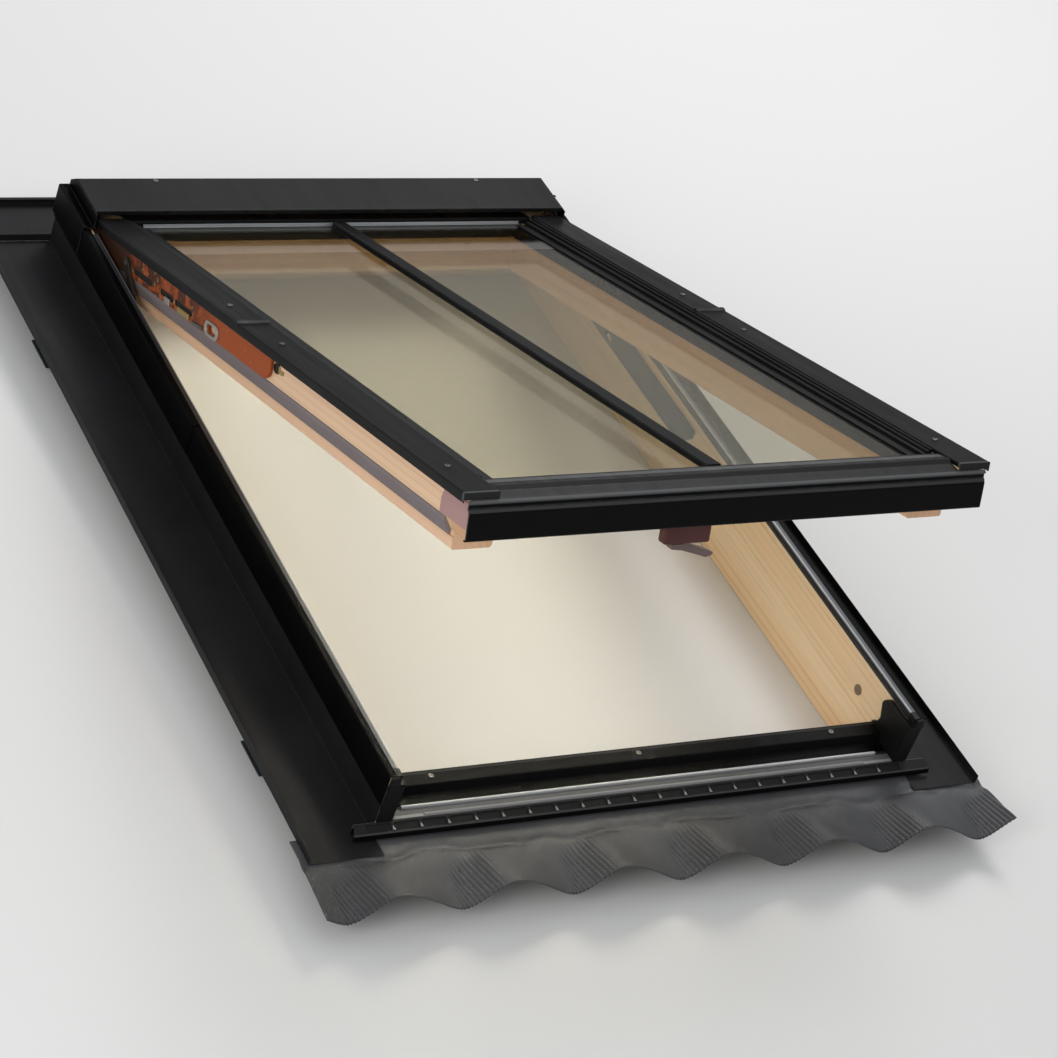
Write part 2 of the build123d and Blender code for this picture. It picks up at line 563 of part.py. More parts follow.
def stays(y_rivet, z_rivet):
    """Friction stays: a strut as long as its reach on the arm, and a shoe in the plate's slot."""
    turn = STAY_SLACK + REST_ANGLE
    slope = STAY_DIP + STAY_SLACK
    reach = 2 * STAY_REACH * cos(radians(turn))
    y_shoe = y_hinge - reach * cos(radians(slope))
    z_shoe = z_hinge - reach * sin(radians(slope))
    place = radians(STAY_DIP - REST_ANGLE)
    y_eye = y_hinge - STAY_REACH * cos(place)
    z_eye = z_hinge - STAY_REACH * sin(place)
    strut = extrude(Plane.YZ * SlotCenterToCenter(STAY_REACH, 15), amount=strut_sheet)
    for y in (-STAY_REACH / 2, STAY_REACH / 2):
        strut -= pin_x(y, 0, 3.4 + RUN_FIT, -1, strut_sheet + 1)
    lean = degrees(atan2(z_eye - z_shoe, y_eye - y_shoe))
    strut = Rot(lean, 0, 0) * strut
    strut = Pos(strut_x, (y_eye + y_shoe) / 2, (z_eye + z_shoe) / 2) * strut
    pair("stay_strut", strut)

    block = extrude(Plane.YZ * SlotCenterToCenter(9, 8.6), amount=3.4)
    shoe = Pos(strut_x + strut_sheet + 0.6, y_shoe, z_shoe) * Rot(slope, 0, 0) * block
    shoe += pin_x(y_shoe, z_shoe, 3.4, strut_x - 0.2, strut_x + strut_sheet + 0.6)
    pair("stay_shoe", shoe)


def sash_timbers():
    """Pine sash: stiles with a glass rebate, a seal bevel and a lip, and two rails."""
    shelf = plane - GLASS_TOP - unit - SEAT
    shoulder = plane - GLASS_TOP - 1
    roof = plane - STILE_TOP
    step = cover_in + SEAT
    outer = [(stile_out, plane - BAND_DEPTH), (stile_out, roof), (step, roof)]
    outer += [(step, shoulder), (glass_x + 1, shoulder), (glass_x + 1, shelf), (stile_in, shelf)]
    foot = plane - SASH_DEPTH
    lip = [(stile_in, foot + 3), (stile_in + 3, foot), (lip_out - 2, foot), (lip_out, foot + 2)]
    lip += [(lip_out, plane - LIP_TOP), (lip_out - LIP_GROOVE, plane - LIP_TOP)]
    lip += [(lip_out - LIP_GROOVE, plane - LIP_TOP + 3), (lip_out, plane - LIP_TOP + 3)]
    lip += [(lip_out, plane - LIP_TOP + 8)]
    y_end = y_cover + SHEET + SEAT
    stile = along_y(outer + lip, y_lip, y_top)
    stub = outer + [(stile_in, plane - BAND_DEPTH)]
    stile += along_y(stub, y_end, y_lip)
    pair("sash_stile", stile, swung=True)

    ends = stile + mirrored(stile)
    span = step
    rail = [(y_glass_high, foot + 3), (y_glass_high, shelf), (y_glass_high + 10, shelf)]
    rail += [(y_glass_high + 10, shoulder), (y_glass_high + 20, shoulder), (y_glass_high + 20, roof), (y_top, roof)]
    rail += [(y_top, foot + 8), (y_top - 8, foot), (y_glass_high + 3, foot)]
    pieces["sash_top_rail"] = opened(along_x(rail, -span, span) - ends)

    foot = plane - RAIL_DEPTH
    rail = [(y_end, plane - BAND_DEPTH), (y_lip, plane - BAND_DEPTH), (y_lip, foot + 2), (y_lip + 2, foot)]
    rail += [(y_glass_low - 3, foot), (y_glass_low, foot + 3), (y_glass_low, shelf), (y_glass_low - 10, shelf)]
    rail += [(y_glass_low - 10, shoulder), (y_end, shoulder)]
    pieces["sash_bottom_rail"] = opened(along_x(rail, -span, span) - ends)


def sash_covers():
    """Aluminium on the sash: lower side covers, bottom cover with its fascia, top cover."""
    path = [(cover_out, plane - COVER_SKIRT), (cover_out, plane), (cover_in, plane), (cover_in, plane - 5.7)]
    cover = fold_y(path, SHEET, y_cover, y_pivot - 0.6)
    mid = (cover_in + cover_out) / 2
    cover += Pos(mid, y_cover + SHEET / 2, plane - COVER_END / 2) * Box(COVER_WIDTH, SHEET, COVER_END)
    pair("lower_cover", cover, swung=True)

    y0 = y_fascia
    rise = y0 + 27
    path = [(y_glass_low - 8, glass_z + SEAT), (y_glass_low - 8, plane - 9), (y_glass_low - 14, plane - 3.6)]
    path += [(rise, plane - 0.8), (rise - 7, plane - 5.5), (y0 + 5, plane - 8.8), (y0, plane - 12.6)]
    path += [(y0 + 3.8, plane - 14.6), (y0 + 3.8, plane - 19.4), (y0 + 1.6, plane - 21), (y0, plane - 26)]
    path += [(y0, plane - FASCIA_DEPTH), (y0 + 5, plane - FASCIA_DEPTH)]
    bottom = fold_x(path, 1.6, -stile_out - 5, stile_out + 5)
    wide = COVER_WIDTH + 4
    for side in (-1, 1):
        x = side * (cover_in - 0.7 + wide / 2)
        bottom -= Pos(x, y_cover - 0.4 + 40, plane - 8) * Box(wide, 80, 20)
    pieces["bottom_cover"] = opened(bottom)

    span = cover_in - 0.7
    roof = plane - STILE_TOP
    path = [(y_top - 1, roof + SEAT), (y_top - 1, roof + 2.5), (y_glass_high + 6, roof + 2.5)]
    path += [(y_glass_high + 4.6, glass_z + 4.6), (y_glass_high + 4.6, glass_z + SEAT)]
    pieces["top_cover"] = opened(fold_x(path, SHEET, -span, span))
    y1 = y_glass_high + 4.4 - SHEET
    trim = [(y1, glass_z + SEAT), (y1, glass_z + 5.2), (y1 - 1.2, glass_z + 5.2), (y1 - 2.4, glass_z + SEAT)]
    pieces["top_trim"] = opened(along_x(trim, 22 - span, span - 22))


def glazing():
    """Double glazing: two panes on a spacer, stepped beads beside it and the glazing bar."""
    x1 = cover_in - 0.5
    low = glass_z + SEAT
    bead = [(x1, plane - 1.5), (x1, low), (stile_in + 0.3, low), (stile_in + 0.3, low + 1)]
    bead += [(x1 - 14, low + 1), (x1 - 14, plane - 7), (x1 - 7.5, plane - 7), (x1 - 7.5, plane - 3.8)]
    bead += [(x1 - 3, plane - 3.8), (x1 - 3, plane - 1.5)]
    pair("glazing_bead", along_y(bead, y_glass_low - 5, y_glass_high - 4), swung=True)

    y0 = y_glass_low - 9
    y1 = y_glass_high + 9
    middle = (y0 + y1) / 2
    upward = (Align.CENTER, Align.CENTER, Align.MAX)
    pane = Pos(0, middle, 0) * Box(2 * glass_x, y1 - y0, PANE, align=upward)
    pieces["pane_outer"] = opened(Pos(0, 0, glass_z) * pane)
    pieces["pane_inner"] = opened(Pos(0, 0, glass_z - PANE - GLASS_GAP) * pane)
    spacer = Box(2 * glass_x - 4, y1 - y0 - 4, GLASS_GAP, align=upward)
    spacer -= Box(2 * (stile_in - SPACER_SHOWS), y1 - y0 - 20 - 2 * SPACER_SHOWS, 3 * GLASS_GAP)
    pieces["spacer"] = opened(Pos(0, middle, glass_z - PANE) * spacer)

    w = BAR_WIDTH / 2
    crown = low + BAR_HEIGHT
    bar = [(-w - 1, low), (w + 1, low), (w, crown - 1.5), (w - 1.5, crown), (1.5 - w, crown), (-w, crown - 1.5)]
    pieces["glazing_bar"] = opened(along_y(bar, y_glass_low - 5, y_glass_high - 4))


def sash_fittings():
    """Seals, corner plates, pivot shoes, screws and the lock with its handle."""
    bevel = plane - BAND_DEPTH
    root = plane - LIP_TOP + 8
    seal = [(stile_out - 0.2, bevel - 0.6), (stile_out + 0.8, bevel - 2), (stile_out + 0.8, bevel - 6)]
    seal += [(lip_out + 4, root - 5), (lip_out + 0.2, root - 5), (lip_out + 0.2, root - 0.4)]
    pair("sash_seal", along_y(seal, y_lip + 6, y_top - 4), swung=True)

    y0 = y_fascia + 6
    y1 = y0 + CORNER_PLATE
    plate = [(y0, bevel + 1), (y1, bevel + 1), (y1, bevel + 18), (y1 - 6, plane - 15), (y0, plane - 15)]
    plate = along_x(plate, stile_out, stile_out + 1)
    group("corner_plates", [plate, mirrored(plate)], swung=True)

    arc = CenterArc((0, 0), TRACK_RADIUS, (PIVOT_TRAVEL - SHOE_ARC) / 2 - 90, SHOE_ARC)
    reach = arm_x + ARM_SHEET - TRACK_SKIN - 0.2 - stile_out
    shoe = extrude(Plane.YZ * SlotArc(arc, TRACK_WIDTH - 0.3), amount=reach)
    foot = extrude(Plane.YZ * (Pos(34, -24) * RectangleRounded(40, 30, 5)), amount=1.7)
    shoe = Pos(stile_out, y_pivot, plane) * (shoe + foot)
    catch = oblong(y_pivot - 99, plane - 26, 17, 13, stile_out, stile_out + 1.6)
    catch += oblong(y_pivot - 113, plane - 28, 9, 5, stile_out, stile_out + 1.6)
    group("pivot_shoes", [shoe, mirrored(shoe), catch, mirrored(catch)], swung=True)

    x_mid = (cover_in + cover_out) / 2
    screws = []
    for side, way in (("right", 1), ("left", -1)):
        spots = [(way * x_mid, y, plane) for y in (y_pivot - 81, y_cover + 84)]
        through = (f"lower_cover_{side}", f"sash_stile_{side}")
        screws += screws_at(spots, through, 12, swung=True)
    group("sash_screws", screws, swung=True)

    z0 = plane - RAIL_DEPTH
    y_lock = y_lip + LOCK_INSET
    case = Pos(LOCK_X, y_lock, z0 - LOCK_HEIGHT / 2) * Box(LOCK_WIDTH, LOCK_DEPTH, LOCK_HEIGHT)
    case = fillet(case.edges().filter_by(Axis.Z), 4)
    case = fillet(case.edges().group_by(Axis.Z)[0], 3)
    x_turn = LOCK_X - 12
    case -= pin_z(x_turn, y_lock, 4 + RUN_FIT, z0 - LOCK_HEIGHT - 1, z0 - 6)
    pieces["lock_case"] = opened(case)

    neck = pin_z(x_turn, y_lock, 4, z0 - LOCK_HEIGHT - 4, z0 - 7)
    low = -LOCK_HEIGHT - 1
    side = [(-8, low), (-8, low - 6), (8, low - 8), (HANDLE_LENGTH - 8, low - 19), (HANDLE_LENGTH, low - 17)]
    side += [(HANDLE_LENGTH + 2, low - 13), (HANDLE_LENGTH - 6, low - 10), (10, low)]
    lever = along_y(side, -5.5, 5.5)
    lever = fillet(lever.edges().filter_by(Axis.Y), 1.2)
    pieces["lock_handle"] = opened(neck + Pos(x_turn, y_lock, z0) * lever)


frame_timbers()
plugs()
rails()
sill_trim()
hood_set()
flashing()
frame_gear()
arms()
sash_timbers()
sash_covers()
glazing()
sash_fittings()

os.makedirs("parts", exist_ok=True)
for node, shape in pieces.items():
    shape.label = node
    export_step(shape, f"parts/{node}.step")
print(len(pieces), "nodes")
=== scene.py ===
"""Roof window with its flashing kit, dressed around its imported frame. Metres, in the frame's own axes."""
import json
import math
import bpy
from mathutils import Euler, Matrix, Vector


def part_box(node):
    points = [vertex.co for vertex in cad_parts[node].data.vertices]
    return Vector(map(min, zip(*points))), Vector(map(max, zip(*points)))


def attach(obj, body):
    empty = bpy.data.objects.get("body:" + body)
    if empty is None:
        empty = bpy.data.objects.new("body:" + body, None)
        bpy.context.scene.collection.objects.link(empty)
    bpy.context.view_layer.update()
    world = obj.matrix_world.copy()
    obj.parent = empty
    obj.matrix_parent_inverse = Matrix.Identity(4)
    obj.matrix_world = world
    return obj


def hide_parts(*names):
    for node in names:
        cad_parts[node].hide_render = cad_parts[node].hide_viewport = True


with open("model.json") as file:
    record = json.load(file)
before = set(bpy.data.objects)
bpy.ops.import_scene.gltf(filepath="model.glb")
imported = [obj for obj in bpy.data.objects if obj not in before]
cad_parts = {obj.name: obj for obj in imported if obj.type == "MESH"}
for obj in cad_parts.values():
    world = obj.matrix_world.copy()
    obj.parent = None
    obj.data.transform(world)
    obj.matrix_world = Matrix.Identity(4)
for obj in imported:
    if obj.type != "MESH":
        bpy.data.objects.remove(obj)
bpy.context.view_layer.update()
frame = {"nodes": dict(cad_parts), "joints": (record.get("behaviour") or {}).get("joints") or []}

# Viewpoint: from the window's left and from below on its slope, up at the open sash. The window is laid
# level here, so the camera leans by what that slope would give.
CAMERA_PLACE = (-2.1101, -2.2433, 2.5484)
CAMERA_TURN = (52.451, -16.910, -25.728)
LENS = 107.49
CAMERA_SHIFT = (0.0182, -0.0026)
CAMERA_SEES = 60

camera = bpy.data.objects.new("camera", bpy.data.cameras.new("camera"))
bpy.context.scene.collection.objects.link(camera)
camera.location = CAMERA_PLACE
camera.rotation_euler = [math.radians(turn) for turn in CAMERA_TURN]
camera.data.lens = LENS
camera.data.shift_x, camera.data.shift_y = CAMERA_SHIFT
camera.data.clip_end = CAMERA_SEES
bpy.context.scene.camera = camera

# Daylight: a sky that is bright overhead and dim along the horizon, one broad light up the slope on the
# right, where the covers catch it, and a weak one on the near left that reaches the timbers.
# Seen straight or through the glass, the backdrop is a plain pale grey.
SKY = (0.88, 0.90, 0.93)
SKY_STRENGTH = 0.78
HORIZON_SHARE = 0.10
SKY_CLEARS_AT = 0.75
BACKDROP = (0.70, 0.71, 0.72)
WINDOW_MIDDLE = Vector((0, 0.5, 0.15))
LAMPS = {
    "high_lamp": ((1.7, 2.7, 3.4), 1.8, 88),
    "near_lamp": ((-2.9, -1.3, 1.9), 1.4, 42),
}


def node(tree, kind, **settings):
    """A node with plain settings: sockets by name, properties by their own name."""
    made = tree.nodes.new(kind)
    for name, value in settings.items():
        if name in made.inputs:
            made.inputs[name].default_value = value
        else:
            setattr(made, name, value)
    return made


world = bpy.data.worlds.new("pale_sky")
world.use_nodes = True
tree = world.node_tree
sky = tree.nodes["Background"]
sky.inputs["Color"].default_value = (*SKY, 1)
heading = node(tree, "ShaderNodeTexCoord")
upward = node(tree, "ShaderNodeSeparateXYZ")
clearing = node(tree, "ShaderNodeMapRange", interpolation_type="SMOOTHSTEP")
clearing.inputs["From Max"].default_value = SKY_CLEARS_AT
clearing.inputs["To Min"].default_value = SKY_STRENGTH * HORIZON_SHARE
clearing.inputs["To Max"].default_value = SKY_STRENGTH
backdrop = node(tree, "ShaderNodeBackground", Color=(*BACKDROP, 1))
ray = node(tree, "ShaderNodeLightPath")
straight = node(tree, "ShaderNodeMath", operation="MAXIMUM")
either = node(tree, "ShaderNodeMixShader")
for start, end in (
        (heading.outputs["Generated"], upward.inputs["Vector"]),
        (upward.outputs["Z"], clearing.inputs["Value"]),
        (clearing.outputs["Result"], sky.inputs["Strength"]),
        (ray.outputs["Is Camera Ray"], straight.inputs[0]),
        (ray.outputs["Is Transmission Ray"], straight.inputs[1]),
        (straight.outputs[0], either.inputs["Fac"]),
        (sky.outputs[0], either.inputs[1]),
        (backdrop.outputs[0], either.inputs[2]),
        (either.outputs[0], tree.nodes["World Output"].inputs["Surface"])):
    tree.links.new(start, end)
bpy.context.scene.world = world
bpy.context.scene.view_settings.view_transform = "Standard"
for name, (place, width, power) in LAMPS.items():
    lamp = bpy.data.lights.new(name, "AREA")
    lamp.size = width
    lamp.energy = power
    holder = bpy.data.objects.new(name, lamp)
    holder.location = place
    holder.rotation_euler = (WINDOW_MIDDLE - Vector(place)).to_track_quat("-Z", "Y").to_euler()
    bpy.context.scene.collection.objects.link(holder)

# Floor: plain, pale and matt, just below the underside of the frame. It keeps the window's shadow.
# Far out, where only low views see it, it thins out into the backdrop.
FLOOR_SIZE = 14.0
FLOOR_DROP = 0.001
FLOOR_COLOUR = (0.72, 0.715, 0.70)
FLOOR_THINS = (3.0, 5.8)


def finish(name, colour, roughness, metallic=0.0, specular=0.5):
    """A new material with its shader set plainly, and handles to build on."""
    material = bpy.data.materials.new(name)
    material.use_nodes = True
    shader = material.node_tree.nodes["Principled BSDF"]
    shader.inputs["Base Color"].default_value = (*colour, 1)
    shader.inputs["Roughness"].default_value = roughness
    shader.inputs["Metallic"].default_value = metallic
    shader.inputs["Specular IOR Level"].default_value = specular
    return material, material.node_tree, shader


def sums(tree, operation, *values):
    """Arithmetic on sockets or numbers."""
    made = node(tree, "ShaderNodeMath", operation=operation)
    for socket, value in zip(made.inputs, values):
        if hasattr(value, "is_output"):
            tree.links.new(value, socket)
        else:
            socket.default_value = value
    return made.outputs[0]


def smooth_step(tree, value, low, high):
    """0 below low, 1 above high, eased between."""
    made = node(tree, "ShaderNodeMapRange", interpolation_type="SMOOTHSTEP")
    tree.links.new(value, made.inputs["Value"])
    made.inputs["From Min"].default_value = low
    made.inputs["From Max"].default_value = high
    return made.outputs["Result"]


floor_mesh = bpy.data.meshes.new("floor")
reach = FLOOR_SIZE / 2
corners = [(-reach, -reach, -FLOOR_DROP), (reach, -reach, -FLOOR_DROP), (reach, reach, -FLOOR_DROP)]
floor_mesh.from_pydata(corners + [(-reach, reach, -FLOOR_DROP)], [], [(0, 1, 2, 3)])
floor = bpy.data.objects.new("floor", floor_mesh)
bpy.context.scene.collection.objects.link(floor)
floor_paint, tree, shader = finish("floor_paint", FLOOR_COLOUR, 0.9, specular=0.2)
out = node(tree, "ShaderNodeVectorMath", operation="LENGTH")
tree.links.new(node(tree, "ShaderNodeTexCoord").outputs["Object"], out.inputs[0])
seen = node(tree, "ShaderNodeLightPath").outputs["Is Camera Ray"]
gone = sums(tree, "MULTIPLY", seen, smooth_step(tree, out.outputs["Value"], *FLOOR_THINS))
tree.links.new(sums(tree, "SUBTRACT", 1.0, gone), shader.inputs["Alpha"])
floor_mesh.materials.append(floor_paint)

# Timbers of the fixed frame: two pine stiles with a head and a sill between them, planed, glued at the
# corners and clear lacquered. The rings of the log run along each piece.
PINE_PALE = (0.86, 0.67, 0.43)
PINE_RING = (0.68, 0.44, 0.22)
PINE_WARM = (0.84, 0.60, 0.35)
PINE_PORE = (0.48, 0.27, 0.12)
PINE_ROUGHNESS = 0.40
PINE_ARRIS = 0.0012
LACQUER = {"Coat Weight": 0.25, "Coat Roughness": 0.22}
RING_SPACING = 0.0100
RING_STRETCH = 0.035
RING_WANDER = 5.0
RING_RIPPLE = 0.6
RING_MARK = ((0.55, 0.0), (1.0, 0.45))
RING_FADE = (22.0, 2.0, (0.36, 0.25), (0.62, 1.0))
PINE_CLOUD = (14.0, 2.0)
PORE_MARK = ((0.30, 0.35), (0.44, 0.0))
FIBRE = (620, 4)
FIBRE_DEPTH = 0.00012
STILE_HEART = ("X", 0.0, 0.395)
CROSS_HEART = ("Y", 0.56, 0.605)
HEART_LEVEL = 0.035
top_hinge = next(joint for joint in frame["joints"] if joint["name"] == "top_hinge")
OPEN_ANGLE = -math.radians(top_hinge["range_deg"][0])


def place_of(tree, swung=False, stretch=None):
    """Object coordinates, taken back to the shut window for a swung piece, then stretched."""
    place = node(tree, "ShaderNodeTexCoord").outputs["Object"]
    if swung:
        turn = Euler((OPEN_ANGLE, 0, 0))
        hinge = Vector(top_hinge["pos_m"])
        shut = node(tree, "ShaderNodeMapping", Rotation=turn, Location=hinge - turn.to_matrix() @ hinge)
        tree.links.new(place, shut.inputs["Vector"])
        place = shut.outputs["Vector"]
    if stretch:
        stretched = node(tree, "ShaderNodeMapping", Scale=stretch)
        tree.links.new(place, stretched.inputs["Vector"])
        place = stretched.outputs["Vector"]
    return place


def noise(tree, vector, scale, detail=4.0, roughness=0.55):
    """Value of a noise over a vector."""
    made = node(tree, "ShaderNodeTexNoise", Scale=scale, Detail=detail, Roughness=roughness)
    tree.links.new(vector, made.inputs["Vector"])
    return made.outputs["Fac"]


def ramp(tree, value, *stops):
    """Colours or greys at stops along a value."""
    made = node(tree, "ShaderNodeValToRGB")
    made.color_ramp.interpolation = "EASE"
    while len(made.color_ramp.elements) < len(stops):
        made.color_ramp.elements.new(0.5)
    for element, (place, colour) in zip(made.color_ramp.elements, stops):
        element.position = place
        element.color = (*colour, 1) if isinstance(colour, tuple) else (colour, colour, colour, 1)
    tree.links.new(value, made.inputs["Fac"])
    return made.outputs["Color"]


def patches(tree, vector, scale, detail, *stops):
    """A noise of this scale and detail, made clear patches by the stops of a ramp."""
    return ramp(tree, noise(tree, vector, scale, detail), *stops)


def mixed(tree, share, first, second):
    """Two colours mixed by a share; each is a socket or a plain colour."""
    made = node(tree, "ShaderNodeMix", data_type="RGBA")
    inputs = {socket.name: socket for socket in made.inputs if socket.enabled}
    for name, value in (("Factor", share), ("A", first), ("B", second)):
        if hasattr(value, "is_output"):
            tree.links.new(value, inputs[name])
        else:
            inputs[name].default_value = (*value, 1) if isinstance(value, tuple) else value
    return next(socket for socket in made.outputs if socket.enabled)


def joined(tree, *values):
    """A vector from sockets or numbers."""
    made = node(tree, "ShaderNodeCombineXYZ")
    for socket, value in zip(made.inputs, values):
        if hasattr(value, "is_output"):
            tree.links.new(value, socket)
        else:
            socket.default_value = value
    return made.outputs[0]


def split(tree, vector):
    """The three numbers of a vector."""
    made = node(tree, "ShaderNodeSeparateXYZ")
    tree.links.new(vector, made.inputs[0])
    return list(made.outputs)


def relief(tree, shader, height, depth, arris=0.0):
    """Relief of a depth in metres on a shader, with its sharp edges eased by a radius."""
    made = node(tree, "ShaderNodeBump", Distance=depth)
    tree.links.new(height, made.inputs["Height"])
    if arris:
        eased = node(tree, "ShaderNodeBevel", Radius=arris, samples=4)
        tree.links.new(eased.outputs["Normal"], made.inputs["Normal"])
    tree.links.new(made.outputs["Normal"], shader.inputs["Normal"])


def pine(name, along, heart, pale, swung=False):
    """Lacquered pine with its grain along X or Y and its heart beside the piece, the same on both sides."""
    material, tree, shader = finish(name, pale, PINE_ROUGHNESS)
    lengthwise = "XYZ".index(along)
    fibre = [FIBRE[0]] * 3
    fibre[lengthwise] = FIBRE[1]
    spot = split(tree, place_of(tree, swung))
    axis, middle, away = heart
    across = "XYZ".index(axis)
    aside = sums(tree, "ABSOLUTE", sums(tree, "SUBTRACT", spot[across], middle))
    spot[across] = sums(tree, "SUBTRACT", aside, away)
    spot[2] = sums(tree, "SUBTRACT", spot[2], HEART_LEVEL)
    spot[lengthwise] = sums(tree, "MULTIPLY", spot[lengthwise], RING_STRETCH)
    place = joined(tree, *spot)
    rings = node(tree, "ShaderNodeTexWave", wave_type="RINGS", rings_direction=along, Detail=2.0,
                 Scale=2 * math.pi / 20 / RING_SPACING, Distortion=RING_WANDER)
    rings.inputs["Detail Scale"].default_value = RING_RIPPLE
    tree.links.new(place, rings.inputs["Vector"])
    late = ramp(tree, rings.outputs["Fac"], *RING_MARK)
    cloud = patches(tree, place, *PINE_CLOUD, (0.35, pale), (0.70, PINE_WARM))
    threads = noise(tree, place_of(tree, swung, fibre), 1.0, 3.0)
    faded = patches(tree, place, *RING_FADE)
    ringed = mixed(tree, sums(tree, "MULTIPLY", late, faded), cloud, PINE_RING)
    pored = mixed(tree, ramp(tree, threads, *PORE_MARK), ringed, PINE_PORE)
    tree.links.new(pored, shader.inputs["Base Color"])
    for label, share in LACQUER.items():
        shader.inputs[label].default_value = share
    relief(tree, shader, threads, FIBRE_DEPTH, PINE_ARRIS)
    return material


def dress(material, *names):
    """Give CAD nodes a material; a name that ends in a star stands for the left and right piece."""
    for name in names:
        sides = (name[:-1] + "left", name[:-1] + "right") if name.endswith("*") else (name,)
        for side in sides:
            mesh = frame["nodes"][side].data
            mesh.materials.clear()
            mesh.materials.append(material)


dress(pine("pine_frame_stiles", "Y", STILE_HEART, PINE_PALE), "frame_stile_*")
dress(pine("pine_frame_cross", "X", CROSS_HEART, PINE_PALE), "frame_head", "frame_sill")

# Plugs: two round buttons of brown plastic, moulded with a fine grain. They are pressed into the stiles
# over the heads of the lower fixing screws.
PLUG_BROWN = (0.20, 0.14, 0.095)
PLUG_SCUFF = (0.25, 0.18, 0.13)
PLUG_ROUGHNESS = 0.55
FACE_CLOUD = (7.0, 5.0, (0.35, 0.0), (0.75, 0.6))
FACE_SPECK = (900.0, 2.0, (0.60, 0.0), (0.72, 0.45))
FACE_SCUFF = (60.0, 4.0, (0.3, 0.35), (0.6, 1.0))
FACE_STREAK = (14, 1.2, 14)
STREAK_SCALE = 4.0
STREAK_RANGE = (0.3, 0.8)
RIM_MARK = ((0.004, 0.0), (0.09, 1.0))
FACE_GRAIN = 1300.0
FACE_GRAIN_DEPTH = 0.00003
ROUGHNESS_SPREAD = (-0.06, 0.12)


def band(tree, place, axis, low, high, soft=0.0006):
    """1 between two places along an axis, eased at both."""
    value = split(tree, place)["XYZ".index(axis)]
    above = smooth_step(tree, value, low - soft, low + soft)
    beyond = smooth_step(tree, value, high - soft, high + soft)
    return sums(tree, "MULTIPLY", above, sums(tree, "SUBTRACT", 1.0, beyond))


def rim_of(tree, radius):
    """How close a point is to an edge, from 0 on the flat to 1 on the edge."""
    eased = node(tree, "ShaderNodeBevel", Radius=radius, samples=4)
    flat = node(tree, "ShaderNodeNewGeometry")
    turned = node(tree, "ShaderNodeVectorMath", operation="DOT_PRODUCT")
    tree.links.new(eased.outputs["Normal"], turned.inputs[0])
    tree.links.new(flat.outputs["Normal"], turned.inputs[1])
    return ramp(tree, sums(tree, "SUBTRACT", 1.0, turned.outputs["Value"]), *RIM_MARK)


def textured(name, colour, dust, roughness, swung=False, rub_and_highlight=None, specular=0.12, arris=0.0009,
             bands=()):
    """Even finish with a fine grain, dust, faint streaks, edges paler as wear and painted highlight, and
    own tints or painted light in bands.
    """
    material, tree, shader = finish(name, colour, roughness, specular=specular)
    place = place_of(tree, swung)
    cloud = patches(tree, place, *FACE_CLOUD)
    speck = patches(tree, place, *FACE_SPECK)
    face = mixed(tree, speck, mixed(tree, cloud, colour, dust), dust)
    for axis, low, high, tint in bands:
        face = mixed(tree, band(tree, place, axis, low, high), face, tint)
    if rub_and_highlight:
        scuffs = patches(tree, place, *FACE_SCUFF)
        face = mixed(tree, sums(tree, "MULTIPLY", rim_of(tree, arris), scuffs), face, rub_and_highlight)
    tree.links.new(face, shader.inputs["Base Color"])
    streaks = node(tree, "ShaderNodeMapRange")
    streaked = noise(tree, place_of(tree, swung, FACE_STREAK), STREAK_SCALE)
    tree.links.new(streaked, streaks.inputs["Value"])
    streaks.inputs["From Min"].default_value = STREAK_RANGE[0]
    streaks.inputs["From Max"].default_value = STREAK_RANGE[1]
    streaks.inputs["To Min"].default_value = roughness + ROUGHNESS_SPREAD[0]
    streaks.inputs["To Max"].default_value = roughness + ROUGHNESS_SPREAD[1]
    tree.links.new(streaks.outputs["Result"], shader.inputs["Roughness"])
    relief(tree, shader, noise(tree, place, FACE_GRAIN, 2.0), FACE_GRAIN_DEPTH, arris)
    return material


dress(textured("plug_plastic", PLUG_BROWN, PLUG_SCUFF, PLUG_ROUGHNESS), "frame_plugs")

# Hinge plates, mounting brackets and strike plate: pressed steel in slate-grey paint. The plates lie on
# the inner faces of the stiles, the brackets on the outer ones, and the strike plate on the sill.
SLATE = (0.022, 0.025, 0.030)
SLATE_DUST = (0.050, 0.054, 0.062)
SLATE_ROUGHNESS = 0.38
dress(textured("slate_paint", SLATE, SLATE_DUST, SLATE_ROUGHNESS),
      "hinge_plate_*", "mounting_brackets", "strike_plate")

# Hinge pins and the frame's screws: turned and headed steel with a dull plating. The pins sit in the
# hinge plates and carry the arms, and the screws hold the sill cover and the hood.
PLATED = (0.16, 0.15, 0.135)
PLATED_ROUGHNESS = 0.42
PLATED_METALLIC = 0.8
PLATED_DULL = 0.6
PLATED_MOTTLE = (160.0, 4.0, (0.35, 0.0), (0.7, 1.0))
PLATED_GRAIN = 700.0
PLATED_DEPTH = 0.00004
PLATED_ARRIS = 0.0006


def plated_steel(name, swung=False, bands=()):
    """Plated steel, with its own tint in given bands of the shut window."""
    material, tree, shader = finish(name, PLATED, PLATED_ROUGHNESS, PLATED_METALLIC)
    place = place_of(tree, swung)
    dull = tuple(PLATED_DULL * share for share in PLATED)
    coat = mixed(tree, patches(tree, place, *PLATED_MOTTLE), PLATED, dull)
    for axis, low, high, tint in bands:
        coat = mixed(tree, band(tree, place, axis, low, high), coat, tint)
    tree.links.new(coat, shader.inputs["Base Color"])
    relief(tree, shader, noise(tree, place, PLATED_GRAIN, 2.0), PLATED_DEPTH, PLATED_ARRIS)
    return material


dress(plated_steel("plated_steel"), "hinge_pins", "frame_screws")
